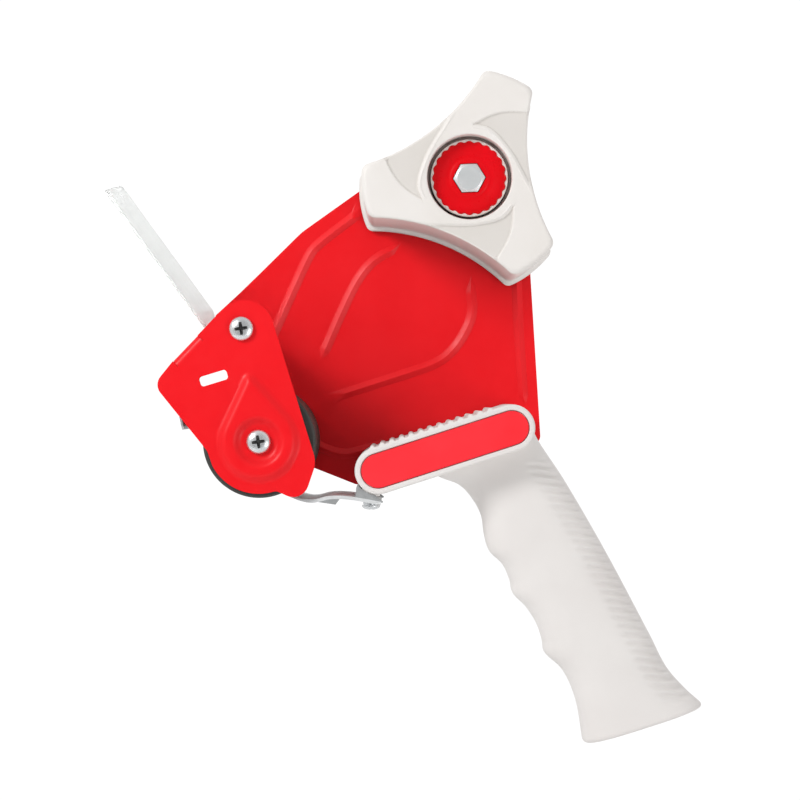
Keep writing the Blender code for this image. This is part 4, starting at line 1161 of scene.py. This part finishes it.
def hub_edge():
    """Rings that round the front face off into the sides, softer at the ends of the arms."""
    rings = []
    edge, inner = hub_outline(), hub_outline(-1.0)
    for c, s in quarter_turn(6):
        ring = []
        for p, q in zip(edge, inner):
            soft = 1.0 + 0.9 * eased((math.hypot(*p) - 35) / 2)
            inset = soft * (1 - s)
            x, z = p[0] + (q[0] - p[0]) * inset, p[1] + (q[1] - p[1]) * inset
            drop = panel_drop((p[0] + (q[0] - p[0]) * soft, p[1] + (q[1] - p[1]) * soft))
            ring.append((x, HUB_NEAR + drop + (soft - 0.4 * drop) * (1 - c), z))
        rings.append(ring)
    return rings


def face_spots(loop):
    """Points inside the hub's face: rows along the panels' edges, then a grid between them."""
    spots = []
    for points, from_rim, from_edge in (
        (panel_rows(), 0.25, 0.2), (even_spots((-40, -40), (40, 40), 1.7), 1.0, 0.8),
    ):
        spots += [
            spot for spot in points
            if CUP_RIM_R + from_rim < spot.length < CORE_R + 20 and lies_inside(loop, spot)
            and distance_to(loop, spot) > from_edge
        ]
    return spots


def hub():
    """A moulded star: swirled face, soft edges, rear lip, cup for the knob and boss for the bush."""
    shape = bmesh.new()
    rings = hub_edge()
    face_loop = [(x, z) for x, _, z in rings[0]]
    for grow, y in HUB_BACK:
        rings.append([(x, y, z) for x, z in hub_outline(grow)])
    ring_faces(shape, rings)
    ring_faces(shape, [
        [(x, y, z) for x, z in circle((0, 0), radius, HUB_STEPS)] for radius, y in HUB_BORE
    ])
    inner_loops = [hub_outline(-HUB_WALL), circle((0, 0), CUP_WALL_R, HUB_STEPS)]
    pressed_face(shape, inner_loops, [], HUB_NEAR + HUB_WALL, lambda point: 0.0)
    spots = face_spots([Vector(p) for p in face_loop])
    pressed_face(shape, [face_loop, circle((0, 0), CUP_RIM_R, HUB_STEPS)], spots, HUB_NEAR,
                 lambda point: -panel_drop(point))
    # Faces sunk in the panels take the darker panel plastic, which paints shade into the recesses.
    for face in shape.faces:
        x, y, z = face.calc_center_median() / MM
        if y < HUB_NEAR + 1 and panel_drop((x, z)) > 0.4:
            face.material_index = 1
    piece = from_bmesh("hub_piece", shape)
    piece.data.materials.append(HUB_PLASTIC)
    piece.data.materials.append(HUB_PANEL_SHADE)
    stand_in(settled(piece, 48), "hub", "hub_plastic", "hub")


# ---- Knob and its bolt
BOLT_TILT = 2.3                 # the bolt's right-hand corner stands this much above level
HEX_STEPS = 144
KNOB_HOLE_R, POCKET_TOP, POCKET_FLOOR = 3.3, 0.3, 4.1
KNOB_DISH = (                   # radius, and depth below the rim
    (11.2, 0.02), (10.2, 0.1), (9.0, 0.3), (7.9, 0.5), (7.2, 0.52), (6.7, 0.4), (6.3, 0.25),
)


def round_ring(radius, height, steps=HEX_STEPS):
    return level(circle((0, 0), radius, steps), height)


def hex_outline(flats, tilt=0.0, steps=HEX_STEPS):
    outline = []
    for i in range(steps):
        degrees = 360 * i / steps
        from_flat = (degrees - tilt) % 60 - 30
        outline.append(polar(flats / 2 / math.cos(math.radians(from_flat)), degrees))
    return outline


def chamfered(outline, face_r, height, down=1):
    """A hexagon's outline where a 30 degree cone from its face cuts it."""
    ring = []
    for x, y in outline:
        ring.append((x, y, height - down * 0.58 * (math.hypot(x, y) - face_r)))
    return ring


def flute_ring(inset, height):
    """The knob's fluted outline, moved inwards."""
    ring = []
    for i in range(2 * HEX_STEPS):
        degrees = 180 * i / HEX_STEPS
        dip = 0.5 - 0.5 * math.cos(math.radians(KNOB_FLUTES * degrees))
        ring.append((*polar(KNOB_R - inset - FLUTE_DEPTH * dip**1.5, degrees), height))
    return ring


def knob():
    back, front, edge = -KNOB_FAR, -KNOB_NEAR, 0.8
    steps = 2 * HEX_STEPS
    rings = [
        round_ring(KNOB_HOLE_R, back, steps),
        flute_ring(0.4, back),
        flute_ring(0, back + 0.4),
        flute_ring(0, front - edge),
    ]
    for c, s in quarter_turn(5, 1):
        rings.append(flute_ring(edge * (1 - c), front - edge + edge * s))
    rings += [round_ring(radius, front - drop, steps) for radius, drop in KNOB_DISH]
    pocket = hex_outline(HEX_FLATS + 0.5, BOLT_TILT, steps)
    rings += [level(pocket, front - POCKET_TOP), level(pocket, front - POCKET_FLOOR)]
    rings.append(round_ring(KNOB_HOLE_R, front - POCKET_FLOOR, steps))
    piece = lofted("brake_knob_piece", rings, side_view(), closed=True)
    stand_in(settled(piece, 50), "knob", "red_plastic", "brake_knob")

    # A pale plastic ring round the knob's face stands in for the highlight on the knob's rim: a painted highlight.
    highlight_ring = tube_profile(KNOB_R + 0.45, KNOB_R - 1.5, front - 3.2, front - 0.5, 0.25)
    piece = turned("brake_knob_highlight_ring", highlight_ring, side_view(), 128, ring=True)
    stand_in(settled(piece), "knob", "hub_plastic", "brake_knob")


def knob_bolt():
    top, seat, end = -BOLT_NEAR, -KNOB_NEAR - 3.8, -BOLT_FAR
    face_r, shank_r = 4.15, 3.0
    hexagon = hex_outline(HEX_FLATS, BOLT_TILT)
    rings = [
        round_ring(face_r - 0.5, top - 0.05),
        round_ring(face_r, top),
        chamfered(hexagon, face_r, top),
        level(hexagon, seat),
        round_ring(shank_r, seat),
        round_ring(shank_r, end + 0.5),
        round_ring(shank_r - 0.5, end),
    ]
    piece = lofted("knob_bolt_piece", rings, side_view())
    piece.data.materials.append(BRIGHT_ZINC)
    stand_in(settled(piece, 20), "knob", "zinc_steel", "knob_bolt")


def spindle_nut():
    low, high = span("spindle_nut", Y)
    outline, face_r, hole_r = hex_outline(13), 6.1, 4.05
    rings = [
        round_ring(hole_r, low),
        round_ring(face_r, low),
        chamfered(outline, face_r, low, down=-1),
        chamfered(outline, face_r, high),
        round_ring(face_r, high),
        round_ring(hole_r + 0.5, high),
        round_ring(hole_r, high - 0.5),
    ]
    piece = lofted("spindle_nut_piece", rings, across(), closed=True)
    stand_in(settled(piece, 20), ROOT, "zinc_steel", "spindle_nut")

    washer = tube_profile(7.5, 4.3, *span("spindle_washer", Y), 0.2)
    round_piece("spindle_washer", washer, across(), 64, ring=True)


# ---- Handle
HEAD_SPAN = (Vector(HEAD_RIGHT) - Vector(HEAD_LEFT)).length
HEAD_TOP_STEPS, HEAD_END_STEPS, HEAD_FOOT_STEPS = 240, 28, 30
SEAM = 0.2                      # the line between the handle's shells
RECESS_R, RECESS_DEPTH = 6.15, 1.4
PAD_R, PAD_BOTTOM, PAD_TOP = 3.2, -111.7, -104
COUNTERBORE_R, COUNTERBORE_FLOOR = 3.2, -16.5


def ridge(along):
    """Height of the anti-stick ridges at a place along the head's top."""
    nearest = min(max(round((along - RIDGE_FIRST) / RIDGE_PITCH), 0), RIDGES - 1)
    aside = along - RIDGE_FIRST - RIDGE_PITCH * nearest
    return max(math.sqrt(max(RIDGE_R**2 - aside**2, 0)) - RIDGE_SINK, 0)


def head_end(middle, radius, start):
    """Half a circle round one end of the head's axis: along, up, and the outward direction."""
    turns = [polar(1, start - 180 * i / HEAD_END_STEPS) for i in range(HEAD_END_STEPS)]
    return [(middle + radius * c, radius * s, c, s) for c, s in turns]


def head_ring(radius, y, ridged=0.0):
    """A stadium round the head's axis, with ridges along its top."""
    half = HEAD_SPAN / 2
    top = [-half + HEAD_SPAN * i / HEAD_TOP_STEPS for i in range(HEAD_TOP_STEPS)]
    foot = [half - HEAD_SPAN * i / HEAD_FOOT_STEPS for i in range(HEAD_FOOT_STEPS)]
    spots = [(along, radius, 0, 1) for along in top] + head_end(half, radius, 90)
    spots += [(along, -radius, 0, -1) for along in foot] + head_end(-half, radius, 270)
    ring = []
    for along, up, c, s in spots:
        rise = ridged * ridge(along) * max(s, 0) ** 6
        x, z = head_point(along + c * rise, -up - s * rise)
        ring.append((x, y, z))
    return ring


def head():
    floor = HEAD_NEAR + RECESS_DEPTH
    rings = [
        head_ring(RECESS_R - 0.2, floor),
        head_ring(RECESS_R, floor - 0.2),
        head_ring(RECESS_R, HEAD_NEAR + 0.4),
        head_ring(RECESS_R + 0.12, HEAD_NEAR + 0.12),
        head_ring(RECESS_R + 0.4, HEAD_NEAR),
    ]
    for edge, y, step in ((0.8, HEAD_NEAR, 1), (0.5, HEAD_FAR, -1)):
        for c, s in quarter_turn(4)[::step]:
            depth = y + step * edge * (1 - c)
            ridged = eased((step * (depth - y) - 0.1) / 0.7)
            rings.append(head_ring(HEAD_R - edge * (1 - s), depth, ridged))
        if step == 1:
            rings.append(head_ring(HEAD_R, HEAD_NEAR + 1.1, 1))
            rings.append(head_ring(HEAD_R, HEAD_FAR - 1.0, 1))
    return lofted("handle_head", rings)


def smooth_value(points, at):
    """The value at a distance on the smooth curve through (distance, value) points."""
    slopes = []
    for i in range(len(points)):
        before, after = points[max(i - 1, 0)], points[min(i + 1, len(points) - 1)]
        slopes.append((after[1] - before[1]) / (after[0] - before[0]))
    for i, (start, end) in enumerate(zip(points, points[1:])):
        if at <= end[0] or i == len(points) - 2:
            gap = end[0] - start[0]
            t = (at - start[0]) / gap
            return (
                start[1] * (1 + 2 * t) * (1 - t) ** 2
                + slopes[i] * gap * t * (1 - t) ** 2
                + end[1] * t * t * (3 - 2 * t)
                + slopes[i + 1] * gap * t * t * (t - 1)
            )


def grip_thickness(down):
    """Half the grip's width, a little fuller under the head and at the foot."""
    under_head = max(0, (14 - down) / 10)
    at_foot = max(0, (down - 92) / 22)
    return GRIP_HALF_THICKNESS + 2.5 * under_head**2 + 1.6 * at_foot**2


def groove(down, along, back):
    """Depth of the fine grooves that slant across the grip's back."""
    wave = 0.5 - 0.5 * math.cos(2 * math.pi * (down - RIB_LEAN * along) / RIB_PITCH)
    fade = eased((RIB_LENGTH - (back - along)) / 3.6) * eased((back - along) / 1.6)
    fade *= eased((down - 13) / 3) * eased((GRIP_END - 4 - down) / 3)
    return RIB_HEIGHT * wave * fade


def grip_ring(down, inset):
    """World points of one cross-section, parallel to the head's axis."""
    front, back = smooth_value(GRIP_FRONT, down), smooth_value(GRIP_BACK, down)
    middle, half = (front + back) / 2, (back - front) / 2 - inset
    half_y = grip_thickness(down) - inset
    bulge = 2 / GRIP_SQUARENESS
    ring = []
    for i in range(GRIP_STEPS):
        c, s = polar(1, 360 * (i + 0.5) / GRIP_STEPS)
        along = middle + half * math.copysign(abs(c) ** bulge, c)
        y = half_y * math.copysign(abs(s) ** bulge, s)
        outward = Vector((
            math.copysign(abs(c) ** (2 - bulge), c) / half,
            math.copysign(abs(s) ** (2 - bulge), s) / half_y,
        )).normalized()
        depth = groove(down, along, back)
        x, z = head_point(along - outward.x * depth, down)
        ring.append((x, PARTING + y - outward.y * depth, z))
    return ring


def grip():
    start, end = 1.0, GRIP_END - GRIP_EDGE
    count = int((end - start) / GRIP_STEP)
    rings = [grip_ring(start + (end - start) * i / count, 0) for i in range(count + 1)]
    for c, s in quarter_turn(6, 1):
        rings.append(grip_ring(end + GRIP_EDGE * s, GRIP_EDGE * (1 - c)))
    return lofted("handle_grip", rings)


def half_of(solid, name, near):
    """The part of a solid on one side of the parting plane, closed where it was cut."""
    shape = bmesh.new()
    shape.from_mesh(solid.data)
    side = 1 if near else -1
    result = bmesh.ops.bisect_plane(
        shape, geom=[*shape.verts, *shape.edges, *shape.faces], dist=1e-7,
        plane_co=(0, (PARTING - side * SEAM / 2) * MM, 0), plane_no=(0, side, 0), clear_outer=True,
    )
    rim = [item for item in result["geom_cut"] if isinstance(item, bmesh.types.BMEdge)]
    bmesh.ops.triangle_fill(shape, edges=rim, use_beauty=True)
    return from_bmesh(name, shape)


def handle():
    blank = head()
    pads = []
    for side, y in GUIDE_SCREW_YS.items():
        upright = place((GUIDE_SCREW_X, y, 0), (1, 0, 0), (0, 1, 0))
        pads.append(rod(f"pad_{side}", PAD_R, PAD_BOTTOM, PAD_TOP, upright))
    fuse(blank, grip(), *pads)
    near = half_of(blank, "handle_near_piece", True)
    far = half_of(blank, "handle_far_piece", False)
    bpy.data.objects.remove(blank)
    cut(far, *(
        rod(f"counterbore_{name}", COUNTERBORE_R, COUNTERBORE_FLOOR, 0,
            across(*head_point(along, down)), 48)
        for name, (down, along) in HANDLE_SCREWS.items()
    ))
    stand_in(settled(near, 40), ROOT, "grip_plastic", "handle_near_shell")
    stand_in(settled(far, 40), ROOT, "grip_plastic", "handle_far_shell")

    low, high = -HEAD_NEAR - 1.1, -HEAD_NEAR
    outline = slot(tuple(HEAD_MIDDLE), HEAD_SPAN + 2 * INSET_R, 2 * INSET_R,
                   math.degrees(math.atan2(HEAD_ALONG.y, HEAD_ALONG.x)), 24)
    inset = extruded("handle_inset_piece", [outline], low, high, side_view())
    round_edges(inset, 0.4)
    stand_in(settled(inset), ROOT, "inset_red", "handle_inset")


# ---- Tape guide
def band(path, thickness):
    """The outline of a bent sheet whose top face follows this path from left to right."""
    points = smooth_route(path, 0.8)
    below = []
    for index, point in enumerate(points):
        before = points[max(index - 1, 0)]
        after = points[min(index + 1, len(points) - 1)]
        along = (after - before).normalized()
        below.append(tuple(point + Vector((along.y, -along.x)) * thickness))
    return [tuple(p) for p in points] + below[::-1]


def tape_guide():
    """A bent sheet under the head with a gusset and a saddle on each side."""
    at = side_view()
    sheet = band(GUIDE_PATH, GUIDE_SHEET)
    guide = extruded("tape_guide_piece", [sheet], -GUIDE_FAR, -GUIDE_NEAR, at)
    # The sheet takes the lit copy of the galvanised finish, painted light; the tabs below take the shaded copy,
    # painted shade.
    guide.data.materials.append(GUIDE_SHEET_LIT)
    gusset = [(-54.2, -113.2), (-49.6, -112.0), (-45, -111.9), (-46.8, -114.3), (-51, -113.7)]
    under_head = arc(HEAD_LEFT, HEAD_R + 0.4, 213, 262, 10)
    saddle = [*under_head, (-30.2, -113.2), (-30.4, -113.7), (-39.9, -112.0), (-39.6, -108.5)]
    for side, low in (("near", -GUIDE_NEAR - GUIDE_SHEET), ("far", -GUIDE_FAR)):
        tabs = [
            extruded(f"gusset_{side}", [gusset], low, low + GUIDE_SHEET, at),
            extruded(f"saddle_{side}", [saddle], low, low + GUIDE_SHEET, at),
        ]
        for tab in tabs:
            tab.data.materials.append(GUIDE_TAB_SHADED)
        fuse(guide, *tabs)
    round_edges(guide, 0.2, 2, 40)
    stand_in(settled(guide), ROOT, "zinc_steel", "tape_guide")


# ---- Floor, lights and camera
CENTRE = (CAD_BOX[0] + CAD_BOX[1]) / 2
LAMPS = {                       # place and diameter in metres, with the watts between them
    "key": ((-0.75, -0.78, 0.45), 7.2, 0.35),
    "fill": ((0.8, -0.85, -0.45), 3.7, 0.7),
    "rear": ((0.2, 0.9, 0.6), 3.0, 0.6),
}
CAMERA_PLACE = (-0.0243, -0.952, -0.0778)       # metres
HALF_VIEW = 0.15484                             # tangent of half the camera's angle
FLOOR_RADIUS, FLOOR_HEIGHT = 0.45, -0.3         # metres


def aim(obj, target):
    obj.rotation_euler = (Vector(target) - obj.location).to_track_quat("-Z", "Y").to_euler()


def lamp(name, position, watts, size):
    """A round lamp that faces the part."""
    light = bpy.data.lights.new(name, "AREA")
    light.energy = watts
    light.shape = "DISK"
    light.size = size
    obj = bpy.data.objects.new(name, light)
    bpy.context.scene.collection.objects.link(obj)
    obj.location = position
    aim(obj, CENTRE)


def floor():
    """A round pale floor, below what the camera sees."""
    shape = bmesh.new()
    bmesh.ops.create_circle(shape, cap_ends=True, radius=FLOOR_RADIUS, segments=96,
                            matrix=Matrix.Translation((CENTRE.x, 0, FLOOR_HEIGHT)))
    disc = from_bmesh("floor", shape)
    pale = new_finish("pale floor", ((236, 236, 236), (240, 240, 240)), (0.7, 0.8),
                      [(3.0, 0.01)], patch=60)
    disc.data.materials.append(pale)


def surroundings():
    """White to the camera; as light, weaker from the open side than from the other sides."""
    world = bpy.data.worlds.new("studio")
    bpy.context.scene.world = world
    world.use_nodes = True
    tree = world.node_tree
    light = tree.nodes["Background"]
    light.inputs["Color"].default_value = (1, 1, 1, 1)
    direction = shader_node(tree, "TexCoord")
    parts = shader_node(tree, "SeparateXYZ")
    tree.links.new(direction.outputs["Generated"], parts.inputs["Vector"])
    glow = between(tree, parts.outputs["Y"], 0.27, 0.65, first=-1.0, last=-0.5)
    tree.links.new(glow, light.inputs["Strength"])
    seen = shader_node(tree, "Background", Color=(1, 1, 1, 1), Strength=1.05)
    rays = shader_node(tree, "LightPath")
    mix = shader_node(tree, "MixShader")
    tree.links.new(rays.outputs["Is Camera Ray"], mix.inputs["Fac"])
    tree.links.new(light.outputs["Background"], mix.inputs[1])
    tree.links.new(seen.outputs["Background"], mix.inputs[2])
    tree.links.new(mix.outputs["Shader"], tree.nodes["World Output"].inputs["Surface"])


def studio():
    bpy.context.scene.view_settings.view_transform = "Standard"
    surroundings()
    for name, values in LAMPS.items():
        lamp(name, *values)


def camera():
    """A level view, square to the open side, from left of the hub and below it."""
    data = bpy.data.cameras.new("camera")
    data.sensor_width = 36
    data.angle = 2 * math.atan(HALF_VIEW)
    data.clip_start = 0.01
    obj = bpy.data.objects.new("camera", data)
    bpy.context.scene.collection.objects.link(obj)
    obj.location = CAMERA_PLACE
    obj.rotation_euler = (math.radians(90), 0, 0)
    bpy.context.scene.camera = obj


# ---- Assembly
repaint_cad_nodes()
frame_pressing()
fasteners()
flap()
clamp_strip()
blade()
sheet_rivets()
cross_rod("roller_shaft", ROLLER_AXIS)
cross_rod("tie_rod", TIE_AXIS)
roller()
hub()
knob()
knob_bolt()
spindle_nut()
handle()
tape_guide()
floor()
studio()
camera()

bpy.context.view_layer.update()
